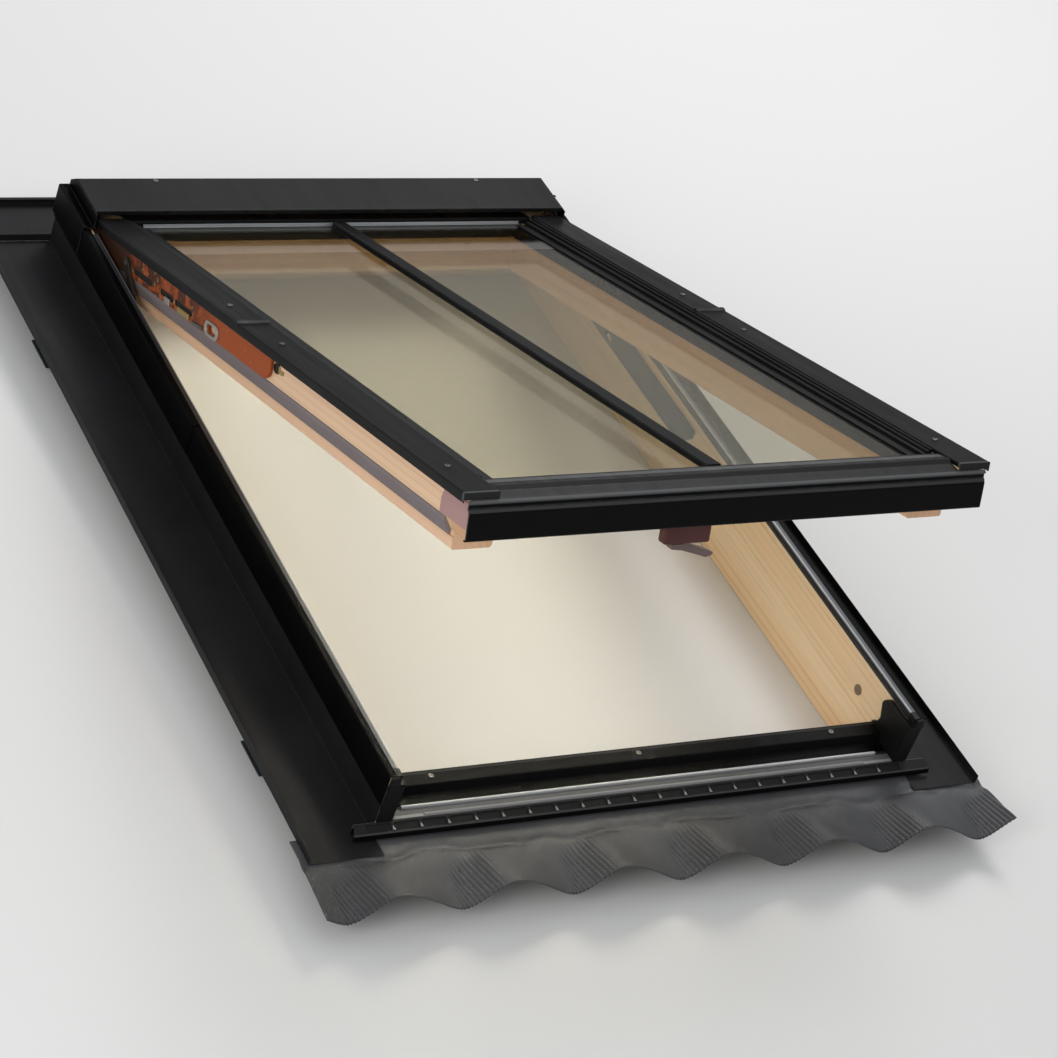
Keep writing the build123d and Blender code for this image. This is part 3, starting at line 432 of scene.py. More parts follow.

# Bright strips along the inside of the side rails: drawn aluminium angles left in mill finish, with fine
# drawing lines. Each stands in the rebate of its stile. A painted highlight runs along its edge, and its
# leg is darkened with painted shade.
STRIP_GREY = (0.105, 0.110, 0.120)
STRIP_PAINTED_HIGHLIGHT = (0.36, 0.37, 0.39)
STRIP_LEG_PAINTED_SHADE = (0.045, 0.047, 0.052)
STRIP_LINES = (900, 4, 900)
STRIP_ROUGHNESS = 0.50
HIGHLIGHT_SPREAD = (0.0010, 0.0022)
LEG_BELOW = 0.0016
DRAWN_DULL = 0.55
DRAWN_MARK = ((0.3, 0.0), (0.7, 1.0))
DRAWN_DEPTH = 0.00004
DRAWN_ARRIS = 0.0006


def drawn_metal(name, colour, roughness, lines, swung=False, metallic=0.8, bands=()):
    """Drawn metal with lines along its length and, where asked, bands of its own tint or of painted light
    and shade.
    """
    material, tree, shader = finish(name, colour, roughness, metallic)
    drawn = noise(tree, place_of(tree, swung, lines), 1.0, 3.0)
    dull = tuple(DRAWN_DULL * share for share in colour)
    coat = mixed(tree, ramp(tree, drawn, *DRAWN_MARK), colour, dull)
    for axis, low, high, tint in bands:
        coat = mixed(tree, band(tree, place_of(tree, swung), axis, low, high), coat, tint)
    tree.links.new(coat, shader.inputs["Base Color"])
    relief(tree, shader, drawn, DRAWN_DEPTH, DRAWN_ARRIS)
    return material


strip_low, strip_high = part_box("rail_strip_right")
rim, level = strip_low.x, strip_high.z
inner, outer = HIGHLIGHT_SPREAD
# Bands of painted light: a highlight along the edge of each strip, and shade down its leg.
strip_painted_light = [
    ("X", rim - inner, rim + outer, STRIP_PAINTED_HIGHLIGHT), ("X", -rim - outer, -rim + inner, STRIP_PAINTED_HIGHLIGHT),
    ("Z", 0.0, level - LEG_BELOW, STRIP_LEG_PAINTED_SHADE)]
dress(drawn_metal("bright_strip", STRIP_GREY, STRIP_ROUGHNESS, STRIP_LINES, bands=strip_painted_light),
      "rail_strip_*")

# Black mouldings: the blocks that close the frame's lower corners, the stepped beads that hold the glass
# and the spacer between its panes. They are black plastic with a fine grain, pushed or glued in place.
MOULDING_BLACK = (0.004, 0.004, 0.004)
MOULDING_DUST = (0.009, 0.009, 0.009)
MOULDING_ROUGHNESS = 0.48
MOULDING_GLOSS = 0.22
dress(textured("black_moulding", MOULDING_BLACK, MOULDING_DUST, MOULDING_ROUGHNESS,
               specular=MOULDING_GLOSS),
      "corner_block_*", "glazing_bead_*", "spacer")

# Rail covers and hood caps: folded aluminium sheet in black stoving enamel with a fine texture, made
# darker than the same enamel on the sash as painted shade. Their edges are paler, as rubbed wear and
# painted highlight. The lower and upper rail covers overlap and are clipped on, and the caps close the
# ends of the hood.
COVER_PAINTED_SHADE = (0.0012, 0.0012, 0.0012)
COVER_CHARCOAL = (0.0028, 0.0028, 0.0030)
COVER_RUB_AND_HIGHLIGHT = (0.060, 0.061, 0.062)
COVER_ROUGHNESS = 0.42
COVER_GLOSS = 0.05
COVER_ARRIS = 0.0020
CAP_ARRIS = 0.0014
dress(textured("charcoal_enamel_frame", COVER_PAINTED_SHADE, COVER_CHARCOAL, COVER_ROUGHNESS,
               rub_and_highlight=COVER_CHARCOAL, specular=COVER_GLOSS, arris=COVER_ARRIS),
      "rail_cover_lower_*", "rail_cover_upper_*")
dress(textured("charcoal_enamel_cap", COVER_PAINTED_SHADE, COVER_CHARCOAL, COVER_ROUGHNESS,
               rub_and_highlight=COVER_RUB_AND_HIGHLIGHT, specular=COVER_GLOSS, arris=CAP_ARRIS), "hood_cap_*")

# Hood over the window's head: one folded aluminium sheet in charcoal enamel, screwed to the head near its
# back fold. Its folds are paler, as rubbed wear and painted highlight, and its broad face holds dust.
HOOD_CHARCOAL = (0.0070, 0.0070, 0.0072)
HOOD_DUST = (0.0150, 0.0150, 0.0152)
dress(textured("charcoal_enamel_hood", HOOD_CHARCOAL, HOOD_DUST, COVER_ROUGHNESS,
               rub_and_highlight=COVER_RUB_AND_HIGHLIGHT, arris=COVER_ARRIS), "hood")

# Sill cover: a folded aluminium sheet, screwed down on the sill. Its bands are painted light and shade: a
# highlight along the fold on the inner side, shade in the seam beside it and on the black step down to the
# drip edge, and a darker flat top towards the room.
SILL_PAINTED_LIGHT_BANDS = [
    ("Z", 0.0, 0.0765, COVER_PAINTED_SHADE), ("Y", 0.0255, 0.0290, (0.030, 0.030, 0.030)),
    ("Y", 0.0235, 0.0255, COVER_PAINTED_SHADE), ("Y", 0.0000, 0.0235, (0.0045, 0.0045, 0.0046))]
dress(textured("charcoal_enamel_sill", HOOD_CHARCOAL, HOOD_DUST, COVER_ROUGHNESS, specular=COVER_GLOSS,
               arris=COVER_ARRIS, bands=SILL_PAINTED_LIGHT_BANDS), "sill_cover")

# Drip edge in front of the sill: a drawn aluminium section in mill finish, rounded along its top. It
# stands on the step of the sill, behind the slotted profile, bright under the dark cover.
DRIP_BRIGHT = (0.62, 0.63, 0.64)
DRIP_METALLIC = 0.2
CROSS_ROUGHNESS = 0.45
CROSS_LINES = (4, 900, 900)
dress(drawn_metal("bright_drip", DRIP_BRIGHT, CROSS_ROUGHNESS, CROSS_LINES, metallic=DRIP_METALLIC),
      "drip_edge")

# Side and head flashings: thin folded aluminium sheet in grey paint, coloured near black as painted shade,
# matt and a little stained where water runs, with edges paler as rubbed wear and painted highlight. They
# stand up beside the timbers under the covers, and their hems turn back the rain.
FLASHING_SHADED_GREY = (0.016, 0.016, 0.017)
FLASHING_STAIN = (0.008, 0.008, 0.0085)
FLASHING_RUB_AND_HIGHLIGHT = (0.06, 0.06, 0.06)
FLASHING_ROUGHNESS = 0.50
dress(textured("flashing_paint", FLASHING_SHADED_GREY, FLASHING_STAIN, FLASHING_ROUGHNESS,
               rub_and_highlight=FLASHING_RUB_AND_HIGHLIGHT), "flashing_side_*", "flashing_head")

# Slotted profile below the sill: a punched and folded aluminium section in grey paint, over the apron's
# upper edge. Its bands are painted light and shade: highlights along its folds and on the ledge behind,
# and shade on its dark lower leg.
PROFILE_GREY = (0.014, 0.014, 0.0145)
PROFILE_DUST = (0.022, 0.022, 0.0225)
PROFILE_PAINTED_LIGHT_BANDS = [
    ("Y", -0.0317, -0.0295, (0.11, 0.11, 0.112)), ("Y", -0.0466, -0.0447, (0.055, 0.055, 0.056)),
    ("Z", 0.0400, 0.0608, (0.0015, 0.0015, 0.0015)), ("Y", -0.0305, -0.0260, (0.24, 0.24, 0.245)),
    ("Y", -0.0260, -0.0170, (0.10, 0.10, 0.102))]
PROFILE_ROUGHNESS = 0.46
dress(textured("profile_paint", PROFILE_GREY, PROFILE_DUST, PROFILE_ROUGHNESS, bands=PROFILE_PAINTED_LIGHT_BANDS),
      "slotted_profile")

# Gussets: on each bridge between two slots of the profile stands a small rib, pressed up out of the same
# sheet to stiffen it. The ribs are coloured bright as a painted highlight.
GUSSET_PAINTED_HIGHLIGHT = (0.22, 0.22, 0.225)
GUSSET_HIGHLIGHT_SPECKS = (0.28, 0.28, 0.28)
GUSSET_ROUGHNESS = 0.42
GUSSET = (0.0038, 0.0060, 0.0018)
GUSSET_PLACE = (-0.0409, 0.0637)
GUSSET_PINCH = 0.85
GUSSET_DROP = 0.8
SLOT_PITCH = 0.0375
SLOT_SHIFT = -0.013
PROFILE_SLOPE = math.atan(5.5 / 15.5)


def geometry_tree(name, sizes):
    """An empty geometry tree with named inputs for its sizes, and what its input node gives."""
    tree = bpy.data.node_groups.new(name, "GeometryNodeTree")
    for label, kind in sizes:
        tree.interface.new_socket(label, in_out="INPUT", socket_type="NodeSocket" + kind)
    tree.interface.new_socket("Mesh", in_out="OUTPUT", socket_type="NodeSocketGeometry")
    return tree, tree.nodes.new("NodeGroupInput").outputs


def grown(name, tree, last, paint, values, body):
    """The plain mesh that a geometry tree gives for these values, riding on a body."""
    whole = node(tree, "GeometryNodeRealizeInstances")
    coloured = node(tree, "GeometryNodeSetMaterial", Material=paint)
    end = tree.nodes.new("NodeGroupOutput")
    tree.links.new(last, whole.inputs[0])
    tree.links.new(whole.outputs[0], coloured.inputs["Geometry"])
    tree.links.new(coloured.outputs["Geometry"], end.inputs["Mesh"])
    seed = bpy.data.objects.new(name + "_tree", bpy.data.meshes.new(name + "_tree"))
    bpy.context.scene.collection.objects.link(seed)
    modifier = seed.modifiers.new(name, "NODES")
    modifier.node_group = tree
    for socket in tree.interface.items_tree:
        if socket.in_out == "INPUT":
            modifier[socket.identifier] = values[socket.name]
    evaluated = seed.evaluated_get(bpy.context.evaluated_depsgraph_get())
    mesh = bpy.data.meshes.new_from_object(evaluated)
    bpy.data.objects.remove(seed)
    piece = bpy.data.objects.new(name, mesh)
    bpy.context.scene.collection.objects.link(piece)
    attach(piece, body)
    return piece


tree, size = geometry_tree("bridge_gussets", [
    ("Count", "Int"), ("Pitch", "Float"), ("Start", "Float"), ("Across", "Float"), ("Along", "Float"),
    ("Rise", "Float"), ("Back", "Float"), ("Level", "Float"), ("Slope", "Float")])
row = node(tree, "GeometryNodeMeshLine")
tree.links.new(size["Count"], row.inputs["Count"])
tree.links.new(joined(tree, size["Start"], size["Back"], size["Level"]), row.inputs["Start Location"])
tree.links.new(joined(tree, size["Pitch"], 0.0, 0.0), row.inputs["Offset"])
block = node(tree, "GeometryNodeMeshCube")
tree.links.new(joined(tree, size["Across"], size["Along"], size["Rise"]), block.inputs["Size"])
aside, back, up = split(tree, node(tree, "GeometryNodeInputPosition").outputs[0])
taper = sums(tree, "ADD", sums(tree, "DIVIDE", back, size["Along"]), 0.5)
lift = sums(tree, "ADD", sums(tree, "DIVIDE", up, size["Rise"]), 0.5)
inward = sums(tree, "MULTIPLY", sums(tree, "MULTIPLY", aside, taper), -GUSSET_PINCH)
drop = sums(tree, "MULTIPLY", sums(tree, "MULTIPLY", lift, taper),
            sums(tree, "MULTIPLY", size["Rise"], -GUSSET_DROP))
pinch = node(tree, "GeometryNodeSetPosition")
tree.links.new(block.outputs["Mesh"], pinch.inputs["Geometry"])
tree.links.new(joined(tree, inward, 0.0, drop), pinch.inputs["Offset"])
stood = node(tree, "GeometryNodeInstanceOnPoints")
tree.links.new(row.outputs["Mesh"], stood.inputs["Points"])
tree.links.new(pinch.outputs["Geometry"], stood.inputs["Instance"])
tree.links.new(joined(tree, size["Slope"], 0.0, 0.0), stood.inputs["Rotation"])
profile_low, profile_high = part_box("slotted_profile")
bridges = int((profile_high.x - profile_low.x) / SLOT_PITCH) - 2
gusset_paint = textured("highlighted_gusset", GUSSET_PAINTED_HIGHLIGHT, GUSSET_HIGHLIGHT_SPECKS, GUSSET_ROUGHNESS)
grown("bridge_gussets", tree, stood.outputs[0], gusset_paint, {
    "Count": bridges, "Pitch": SLOT_PITCH, "Start": SLOT_SHIFT - (bridges - 1) / 2 * SLOT_PITCH,
    "Across": GUSSET[0], "Along": GUSSET[1], "Rise": GUSSET[2], "Back": GUSSET_PLACE[0],
    "Level": GUSSET_PLACE[1] + GUSSET[2] / 2, "Slope": PROFILE_SLOPE}, "frame")

# Slot shade strip: a thin dark grey strip under the slots of the profile, laid there as painted shade for
# what is seen through the slots. It lies just under the sheet.
SLOT_SHADE_GREY = (0.012, 0.012, 0.0125)
SLOT_SHADE_SPECKS = (0.018, 0.018, 0.018)
FELT_ROUGHNESS = 0.7
SLOT_SHADE_STRIP = (0.0120, 0.0018)
SLOT_SHADE_PLACE = (-0.0392, 0.0620)
SLOT_SHADE_SHORT = 0.03

tree, size = geometry_tree("slot_shade", [
    ("Length", "Float"), ("Width", "Float"), ("Thickness", "Float"), ("Back", "Float"), ("Level", "Float"),
    ("Slope", "Float")])
strip = node(tree, "GeometryNodeMeshCube")
tree.links.new(joined(tree, size["Length"], size["Width"], size["Thickness"]), strip.inputs["Size"])
laid = node(tree, "GeometryNodeTransform")
tree.links.new(strip.outputs["Mesh"], laid.inputs["Geometry"])
tree.links.new(joined(tree, 0.0, size["Back"], size["Level"]), laid.inputs["Translation"])
tree.links.new(joined(tree, size["Slope"], 0.0, 0.0), laid.inputs["Rotation"])
slot_shade_face = textured("slot_shade_paint", SLOT_SHADE_GREY, SLOT_SHADE_SPECKS, FELT_ROUGHNESS)
grown("slot_shade", tree, laid.outputs[0], slot_shade_face, {
    "Length": profile_high.x - profile_low.x - SLOT_SHADE_SHORT, "Width": SLOT_SHADE_STRIP[0], "Thickness": SLOT_SHADE_STRIP[1],
    "Back": SLOT_SHADE_PLACE[0], "Level": SLOT_SHADE_PLACE[1], "Slope": PROFILE_SLOPE}, "frame")

# Apron: one thin metal sheet with an embossed grey face, flat under the profile and formed in waves below
# it. Where it turns down into a wave it is gathered in fine pleats, and it creases along the bend.
APRON_FLAT = 0.042
APRON_FALL = 0.0789
APRON_INSET = 0.0018
APRON_SHEET = 0.0016
APRON_MESH = (961, 41)
APRON_GREY = (0.074, 0.075, 0.079)
APRON_STAIN = (0.050, 0.051, 0.054)
# Painted shade: the dark grey laid along the crease and into the grooves of the pleats.
APRON_PAINTED_SHADE = (0.022, 0.022, 0.024)
APRON_ROUGHNESS = 0.50
APRON_GLOSS = 0.35
APRON_CLOUD = (9.0, 5.0)
WAVE = {"Pitch": 0.1535, "Start": 0.0532, "Crest": 0.020, "Trough": 0.017, "Lean": 0.35}
PLEAT_PITCH = 0.0074
PLEAT_DEPTH = 0.0026
PLEAT_SKEW = 1.25
PLEAT_WANDER = 0.004
PLEATS_FROM = (-0.49, -0.38)
PLEATS_TO = (-0.14, -0.05)
PLEATS_BEGIN = (-0.10, 0.22)
PLEATS_SLANT = 0.6
PLEAT_SHADE = ((0.25, 0.0), (0.85, 0.85))
DRIFT_SCALE = 11.0
CREASE_DEPTH = 0.0026
CREASE_WIDTH = 0.0065
CREASE_WANDER = 0.045
CREASE_LINE = (-0.0755, -0.0715)
CREASE_SOFT = 0.004
CREASE_WAVER = (9, 1, 1)
CREASE_SHIFT = 0.05
CREASE_PATCHES = (14, 40, 1)
CREASE_BREAKS = (1.0, 2.0, (0.38, 0.0), (0.60, 0.9))
EMBOSS_TURNS = (0.6, -0.9)
EMBOSS_SCALE = 82.0
EMBOSS_WARP = 1.2
EMBOSS_GRAIN = 500.0
EMBOSS_DEPTH = 0.00022

apron_low, apron_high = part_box("apron")
tree, size = geometry_tree("dressed_apron", [
    ("Width", "Float"), ("Flat", "Float"), ("Fall", "Float"), ("Back", "Float"), ("Level", "Float"),
    ("Pitch", "Float"), ("Start", "Float"), ("Crest", "Float"), ("Trough", "Float"), ("Lean", "Float"),
    ("Pleat Pitch", "Float"), ("Pleat Depth", "Float"), ("Crease Depth", "Float")])
sheet = node(tree, "GeometryNodeMeshGrid")
sheet.inputs["Vertices X"].default_value, sheet.inputs["Vertices Y"].default_value = APRON_MESH
run = sums(tree, "ADD", size["Flat"], size["Fall"])
tree.links.new(size["Width"], sheet.inputs["Size X"])
tree.links.new(run, sheet.inputs["Size Y"])
x, y = split(tree, node(tree, "GeometryNodeInputPosition").outputs[0])[:2]
down = sums(tree, "SUBTRACT", sums(tree, "MULTIPLY", run, 0.5), y)
past = sums(tree, "SUBTRACT", down, size["Flat"])
fall = sums(tree, "MAXIMUM", sums(tree, "DIVIDE", past, size["Fall"]), 0.0)
waves = sums(tree, "DIVIDE", sums(tree, "SUBTRACT", x, size["Start"]), size["Pitch"])
turn = sums(tree, "MULTIPLY", waves, 2 * math.pi)
lean = sums(tree, "MULTIPLY", size["Lean"], sums(tree, "SUBTRACT", sums(tree, "COSINE", turn), 1.0))
swing = sums(tree, "COSINE", sums(tree, "ADD", turn, lean))
middle = sums(tree, "MULTIPLY", sums(tree, "SUBTRACT", size["Crest"], size["Trough"]), 0.5)
height = sums(tree, "MULTIPLY", sums(tree, "ADD", size["Crest"], size["Trough"]), 0.5)
dressed = sums(tree, "MULTIPLY", fall, sums(tree, "ADD", middle, sums(tree, "MULTIPLY", height, swing)))

wander = node(tree, "ShaderNodeTexNoise", noise_dimensions="2D", Scale=DRIFT_SCALE, Detail=2.0)
tree.links.new(joined(tree, x, 0.0, 0.0), wander.inputs["Vector"])
drift = sums(tree, "SUBTRACT", wander.outputs["Fac"], 0.5)
part = sums(tree, "SUBTRACT", sums(tree, "FRACT", sums(tree, "ADD", waves, 0.5)), 0.5)
flank = sums(tree, "MULTIPLY", smooth_step(tree, part, *PLEATS_FROM),
             sums(tree, "SUBTRACT", 1.0, smooth_step(tree, part, *PLEATS_TO)))
begin = sums(tree, "ADD", fall, sums(tree, "MULTIPLY", part, PLEATS_SLANT))
sideways = sums(tree, "MULTIPLY", sums(tree, "MINIMUM", part, 0.0), -PLEAT_SKEW)
skewed = sums(tree, "SUBTRACT", x, sums(tree, "MULTIPLY", past, sideways))
half_pleat = sums(tree, "MULTIPLY", size["Pleat Pitch"], 0.5)
skewed = sums(tree, "ADD", skewed, sums(tree, "MULTIPLY", drift, PLEAT_WANDER))
fold = sums(tree, "PINGPONG", skewed, half_pleat)
fold = sums(tree, "POWER", sums(tree, "DIVIDE", fold, half_pleat), 2.0)
gathered = sums(tree, "MULTIPLY", sums(tree, "MULTIPLY", fold, size["Pleat Depth"]),
                sums(tree, "MULTIPLY", flank, smooth_step(tree, begin, *PLEATS_BEGIN)))
bend = sums(tree, "ADD", size["Flat"], sums(tree, "MULTIPLY", drift, CREASE_WANDER))
off = sums(tree, "DIVIDE", sums(tree, "SUBTRACT", down, bend), CREASE_WIDTH)
narrow = sums(tree, "POWER", sums(tree, "ABSOLUTE", off), 2.0)
hollow = sums(tree, "EXPONENT", sums(tree, "MULTIPLY", narrow, -1.0))
sunk = sums(tree, "ADD", gathered, sums(tree, "MULTIPLY", size["Crease Depth"], hollow))
level = sums(tree, "SUBTRACT", sums(tree, "ADD", size["Level"], dressed), sunk)
marked = node(tree, "GeometryNodeStoreNamedAttribute", data_type="FLOAT", domain="POINT", Name="groove")
tree.links.new(sheet.outputs["Mesh"], marked.inputs["Geometry"])
tree.links.new(sums(tree, "DIVIDE", gathered, size["Pleat Depth"]), marked.inputs["Value"])
shaped = node(tree, "GeometryNodeSetPosition")
tree.links.new(marked.outputs["Geometry"], shaped.inputs["Geometry"])
back = sums(tree, "SUBTRACT", size["Back"], down)
tree.links.new(joined(tree, x, back, level), shaped.inputs["Position"])
rounded = node(tree, "GeometryNodeSetShadeSmooth")
tree.links.new(shaped.outputs["Geometry"], rounded.inputs["Geometry"])


def embossed(name, colour, stain):
    """Grey sheet with a fine slanted emboss, and painted shade along a broken crease and in the grooves of
    its pleats.
    """
    material, tree, shader = finish(name, colour, APRON_ROUGHNESS, specular=APRON_GLOSS)
    place = place_of(tree)
    cloud = patches(tree, place, *APRON_CLOUD, (0.35, colour), (0.72, stain))
    waver = sums(tree, "SUBTRACT", noise(tree, place_of(tree, stretch=CREASE_WAVER), 1.0, 2.0), 0.5)
    shift = sums(tree, "MULTIPLY", waver, CREASE_SHIFT)
    line = joined(tree, 0.0, sums(tree, "ADD", split(tree, place)[1], shift), 0.0)
    breaks = patches(tree, place_of(tree, stretch=CREASE_PATCHES), *CREASE_BREAKS)
    crease_shade = sums(tree, "MULTIPLY", band(tree, line, "Y", *CREASE_LINE, CREASE_SOFT), breaks)
    creased = mixed(tree, crease_shade, cloud, APRON_PAINTED_SHADE)
    groove = node(tree, "ShaderNodeAttribute", attribute_name="groove")
    deep = ramp(tree, groove.outputs["Fac"], *PLEAT_SHADE)
    tree.links.new(mixed(tree, deep, creased, APRON_PAINTED_SHADE), shader.inputs["Base Color"])
    lines = []
    for turn in EMBOSS_TURNS:
        slanted = node(tree, "ShaderNodeMapping", Rotation=(0, 0, turn))
        tree.links.new(place, slanted.inputs["Vector"])
        pressed = node(tree, "ShaderNodeTexWave", Scale=EMBOSS_SCALE, Distortion=EMBOSS_WARP)
        tree.links.new(slanted.outputs["Vector"], pressed.inputs["Vector"])
        lines.append(pressed.outputs["Fac"])
    woven = sums(tree, "MULTIPLY", *lines)
    relief(tree, shader, sums(tree, "ADD", woven, noise(tree, place, EMBOSS_GRAIN, 2.0)), EMBOSS_DEPTH)
    return material


apron_paint = embossed("apron_sheet", APRON_GREY, APRON_STAIN)
apron = grown("dressed_apron", tree, rounded.outputs["Geometry"], apron_paint, {
    "Width": apron_high.x - apron_low.x - 2 * APRON_INSET, "Flat": APRON_FLAT, "Fall": APRON_FALL,
    "Back": apron_high.y, "Level": apron_low.z + WAVE["Trough"] + APRON_SHEET, **WAVE,
    "Pleat Pitch": PLEAT_PITCH, "Pleat Depth": PLEAT_DEPTH, "Crease Depth": CREASE_DEPTH},
    "frame")
thick = apron.modifiers.new("sheet", "SOLIDIFY")
thick.thickness = APRON_SHEET
thick.offset = -1
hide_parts("apron")

# Timbers of the sash: two pine stiles and two rails, rebated for the glass and lacquered like the frame.
# The sash hangs open, so its patterns are read where it lies when it is shut.
PINE_PEACH = (0.88, 0.55, 0.34)
dress(pine("pine_sash_stiles", "Y", STILE_HEART, PINE_PEACH, True), "sash_stile_*")
dress(pine("pine_sash_rails", "X", CROSS_HEART, PINE_PEACH, True), "sash_top_rail", "sash_bottom_rail")

# Seals: soft grey rubber sections, one along each sash stile. They are extruded in one length and pressed
# in above the stile's lip, where they meet the frame when the sash is shut.
SEAL_GREY = (0.21, 0.175, 0.18)
SEAL_DUST = (0.26, 0.22, 0.225)
SEAL_ROUGHNESS = 0.62
SEAL_GLOSS = 0.2
dress(textured("seal_rubber", SEAL_GREY, SEAL_DUST, SEAL_ROUGHNESS, True, specular=SEAL_GLOSS),
      "sash_seal_*")

# Glass: two clear float panes with the faint olive of a low-emission coating, sealed to their spacer.
# Light reaches what lies behind them, as it does through real glass.
GLASS_TINT = (0.80, 0.78, 0.70)
GLASS_INDEX = 1.25


def float_glass(name, tint):
    """Clear glass that lets light through to what is behind it."""
    material, tree, shader = finish(name, tint, 0.0)
    shader.inputs["Transmission Weight"].default_value = 1.0
    shader.inputs["IOR"].default_value = GLASS_INDEX
    face_tint = tuple(math.sqrt(share) for share in tint)
    passing = node(tree, "ShaderNodeBsdfTransparent", Color=(*face_tint, 1))
    path = node(tree, "ShaderNodeLightPath")
    mix = node(tree, "ShaderNodeMixShader")
    tree.links.new(path.outputs["Is Shadow Ray"], mix.inputs["Fac"])
    tree.links.new(shader.outputs["BSDF"], mix.inputs[1])
    tree.links.new(passing.outputs["BSDF"], mix.inputs[2])
    tree.links.new(mix.outputs["Shader"], tree.nodes["Material Output"].inputs["Surface"])
    return material


dress(float_glass("coated_glass", GLASS_TINT), "pane_outer", "pane_inner")

# Side and top covers of the sash and its glazing bar: folded and drawn aluminium in charcoal enamel, the
# side covers screwed to arms and stiles. Their edges are paler, as rubbed wear and painted highlight. The
# lower ones end in a leg, whose fold carries a painted highlight as their band.
COVER_DUST = (0.0075, 0.0075, 0.0077)
END_PAINTED_HIGHLIGHT = [("Y", -0.0118, -0.0080, (0.070, 0.071, 0.072))]
dress(textured("charcoal_enamel_sash", COVER_CHARCOAL, COVER_DUST, COVER_ROUGHNESS, True,
               rub_and_highlight=COVER_RUB_AND_HIGHLIGHT, arris=COVER_ARRIS), "upper_cover_*", "top_cover", "glazing_bar")
dress(textured("charcoal_enamel_lower", COVER_CHARCOAL, COVER_DUST, COVER_ROUGHNESS, True,
               rub_and_highlight=COVER_RUB_AND_HIGHLIGHT, arris=COVER_ARRIS, bands=END_PAINTED_HIGHLIGHT), "lower_cover_*")

# Bottom cover of the sash: one aluminium sheet folded into slope, nose, groove, bead and a deep front.
# Its bands are painted light and shade on these folds in turn: highlights on the bead and the edges, and
# shade on the step by the glass, in the groove and on the black front.
NOSE_PAINTED_LIGHT_BANDS = [
    ("Y", 0.0310, 0.0430, (0.0030, 0.0030, 0.0030)), ("Y", 0.0190, 0.0310, (0.085, 0.086, 0.088)),
    ("Y", -0.0090, 0.0190, (0.0065, 0.0065, 0.0066)), ("Z", 0.1335, 0.1392, (0.095, 0.096, 0.098)),
    ("Z", 0.1285, 0.1335, (0.0008, 0.0008, 0.0008)), ("Z", 0.1245, 0.1285, (0.045, 0.045, 0.046)),
    ("Z", 0.0800, 0.1245, (0.0018, 0.0018, 0.0019))]
dress(textured("charcoal_enamel_nose", HOOD_CHARCOAL, HOOD_DUST, COVER_ROUGHNESS, True,
               rub_and_highlight=COVER_RUB_AND_HIGHLIGHT, arris=COVER_ARRIS, bands=NOSE_PAINTED_LIGHT_BANDS), "bottom_cover")

# Top trim: a narrow drawn aluminium strip in mill finish with lines along its length. It stands across the
# top of the glass, against the fold of the top cover.
TRIM_GREY = (0.42, 0.43, 0.44)
dress(drawn_metal("bright_trim", TRIM_GREY, CROSS_ROUGHNESS, CROSS_LINES, swung=True), "top_trim")

# Corner plates: thin pressed steel, one on the outer side of each lower corner of the sash, their mauve a
# painted reflection of the red roof tiles. Each lies flat on its stile, where the bottom rail is joined.
CORNER_TILE_REFLECTION = (0.42, 0.235, 0.225)
CORNER_DUST = (0.48, 0.30, 0.28)
CORNER_ROUGHNESS = 0.45
dress(textured("corner_plate_tile_reflection", CORNER_TILE_REFLECTION, CORNER_DUST, CORNER_ROUGHNESS, True), "corner_plates")

# Hinge arms: pressed bright steel, each turning on its pin and carrying the sash at its low end. Their
# red-brown is a painted reflection of the red roof tiles. It is even at the low end and blotched with dark
# rust and grease towards the hinge, with painted shade in its recesses and under the hood.
ARM_TILE_REFLECTION = (0.36, 0.075, 0.016)
ARM_DARK = (0.050, 0.020, 0.012)
ARM_REFLECTION_WORN = (0.46, 0.16, 0.06)
ARM_GREASE = (0.30, 0.22, 0.12)
DARK_PAINT_AND_RECESS_SHADE = (0.020, 0.017, 0.015)
MOTTLED = (0.655, 0.76)
UNDER_HOOD_PAINTED_SHADE = (0.91, 0.97)
ARM_FACE = 0.3672
ARM_BLOTS = (48.0, 3.0, (0.37, 0.0), (0.54, 0.9))
ARM_CRUMBS = (120.0, 2.0, (0.60, 0.0), (0.67, 0.8))
ARM_WEAR = (70.0, 4.0, (0.60, 0.0), (0.72, 0.5))
ARM_ROUGHNESS = 0.40
ARM_GLOSS = 0.12
ARM_GRAIN = 240.0
ARM_DEPTH = 0.00015
ARM_RIM = 0.0009
ARM_ARRIS = 0.0008


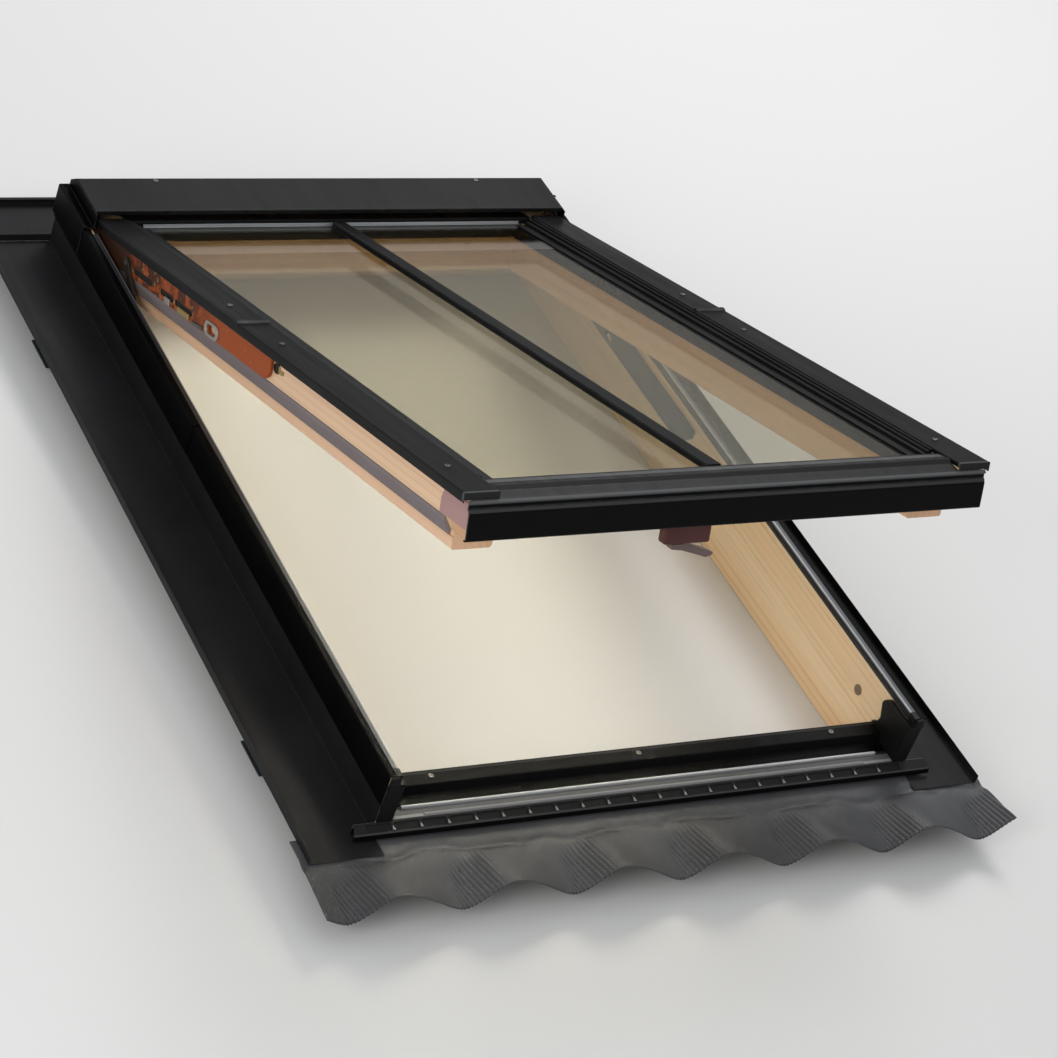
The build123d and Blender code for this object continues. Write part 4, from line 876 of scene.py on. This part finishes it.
def arm_tile_reflection_coat(name):
    """Red-brown painted reflection, even at the arm's low end, blotched with dark rust and grease towards
    the hinge, with painted shade in recesses and under the hood.
    """
    material, tree, shader = finish(name, ARM_TILE_REFLECTION, ARM_ROUGHNESS, specular=ARM_GLOSS)
    place = place_of(tree, True)
    aside, along = split(tree, place)[:2]
    up = smooth_step(tree, along, *MOTTLED)
    blots = patches(tree, place, *ARM_BLOTS)
    crumbs = patches(tree, place, *ARM_CRUMBS)
    worn = patches(tree, place, *ARM_WEAR)
    coat = mixed(tree, worn, ARM_TILE_REFLECTION, ARM_REFLECTION_WORN)
    coat = mixed(tree, sums(tree, "MULTIPLY", up, blots), coat, ARM_DARK)
    coat = mixed(tree, sums(tree, "MULTIPLY", up, crumbs), coat, ARM_GREASE)
    coat = mixed(tree, rim_of(tree, ARM_RIM), coat, ARM_REFLECTION_WORN)
    # Painted shade: the inner side of the arm towards the hinge and the part under the hood are made dark.
    sunk = sums(tree, "LESS_THAN", sums(tree, "ABSOLUTE", aside), ARM_FACE)
    coat = mixed(tree, sums(tree, "MULTIPLY", sunk, up), coat, DARK_PAINT_AND_RECESS_SHADE)
    coat = mixed(tree, smooth_step(tree, along, *UNDER_HOOD_PAINTED_SHADE), coat, ARM_DARK)
    tree.links.new(coat, shader.inputs["Base Color"])
    relief(tree, shader, noise(tree, place, ARM_GRAIN, 3.0), ARM_DEPTH, ARM_ARRIS)
    return material


dress(arm_tile_reflection_coat("arm_tile_reflection_coat"), "hinge_arm_*")

# Fittings on the arms: collar, hook, block, clip, rivets and cover screws, stamped or turned and plated.
# The collar and the clip are pale, and the block between them is yellow plated.
PALE_PLATE = (0.42, 0.39, 0.35)
BRASS = (0.42, 0.31, 0.12)
dress(plated_steel("plated_arm_fittings", True, [
    ("Y", 0.640, 0.700, PALE_PLATE), ("Y", 0.740, 0.785, BRASS), ("Y", 0.805, 0.830, PALE_PLATE),
    ("Z", 0.130, 0.160, PLATED)]), "arm_fasteners")

# Stays: flat steel struts, riveted to the arms, each with a shoe that slides in the slot of its hinge
# plate and brakes the sash. Both are painted dark, with edges rubbed to the plating.
STAY_ROUGHNESS = 0.40
dress(textured("stay_paint", DARK_PAINT_AND_RECESS_SHADE, ARM_DARK, STAY_ROUGHNESS, rub_and_highlight=PLATED),
      "stay_strut_*", "stay_shoe_*")

# Pivot shoes: curved steel blocks on foot plates, which run in the track of the arms when the sash turns
# over. Below each arm's tail lie a black catch and its small yellow-plated latch.
CATCH_BLACK = (0.010, 0.009, 0.008)
PIVOT_BANDS = [("Y", 0.40, 0.486, BRASS), ("Y", 0.486, 0.5025, CATCH_BLACK)]
dress(plated_steel("plated_sash_steel", True, PIVOT_BANDS), "pivot_shoes")

# Screws of the sash: pan-headed plated steel with a driver recess, two through each lower side cover into
# its stile.
dress(plated_steel("plated_sash_screws", True), "sash_screws")

# Lock: a die-cast case under the bottom rail, and a lever which turns on a stub in its underside. Their
# dark red-brown and paler mauve brown are a painted reflection of the red roof tiles.
LOCK_TILE_REFLECTION = (0.105, 0.042, 0.040)
LOCK_DUST = (0.15, 0.08, 0.078)
LEVER_TILE_REFLECTION = (0.17, 0.125, 0.12)
LEVER_DUST = (0.22, 0.17, 0.165)
LOCK_ROUGHNESS = 0.40
LEVER_ROUGHNESS = 0.36
dress(textured("lock_tile_reflection", LOCK_TILE_REFLECTION, LOCK_DUST, LOCK_ROUGHNESS, True), "lock_case")
dress(textured("lever_tile_reflection", LEVER_TILE_REFLECTION, LEVER_DUST, LEVER_ROUGHNESS, True), "lock_handle")
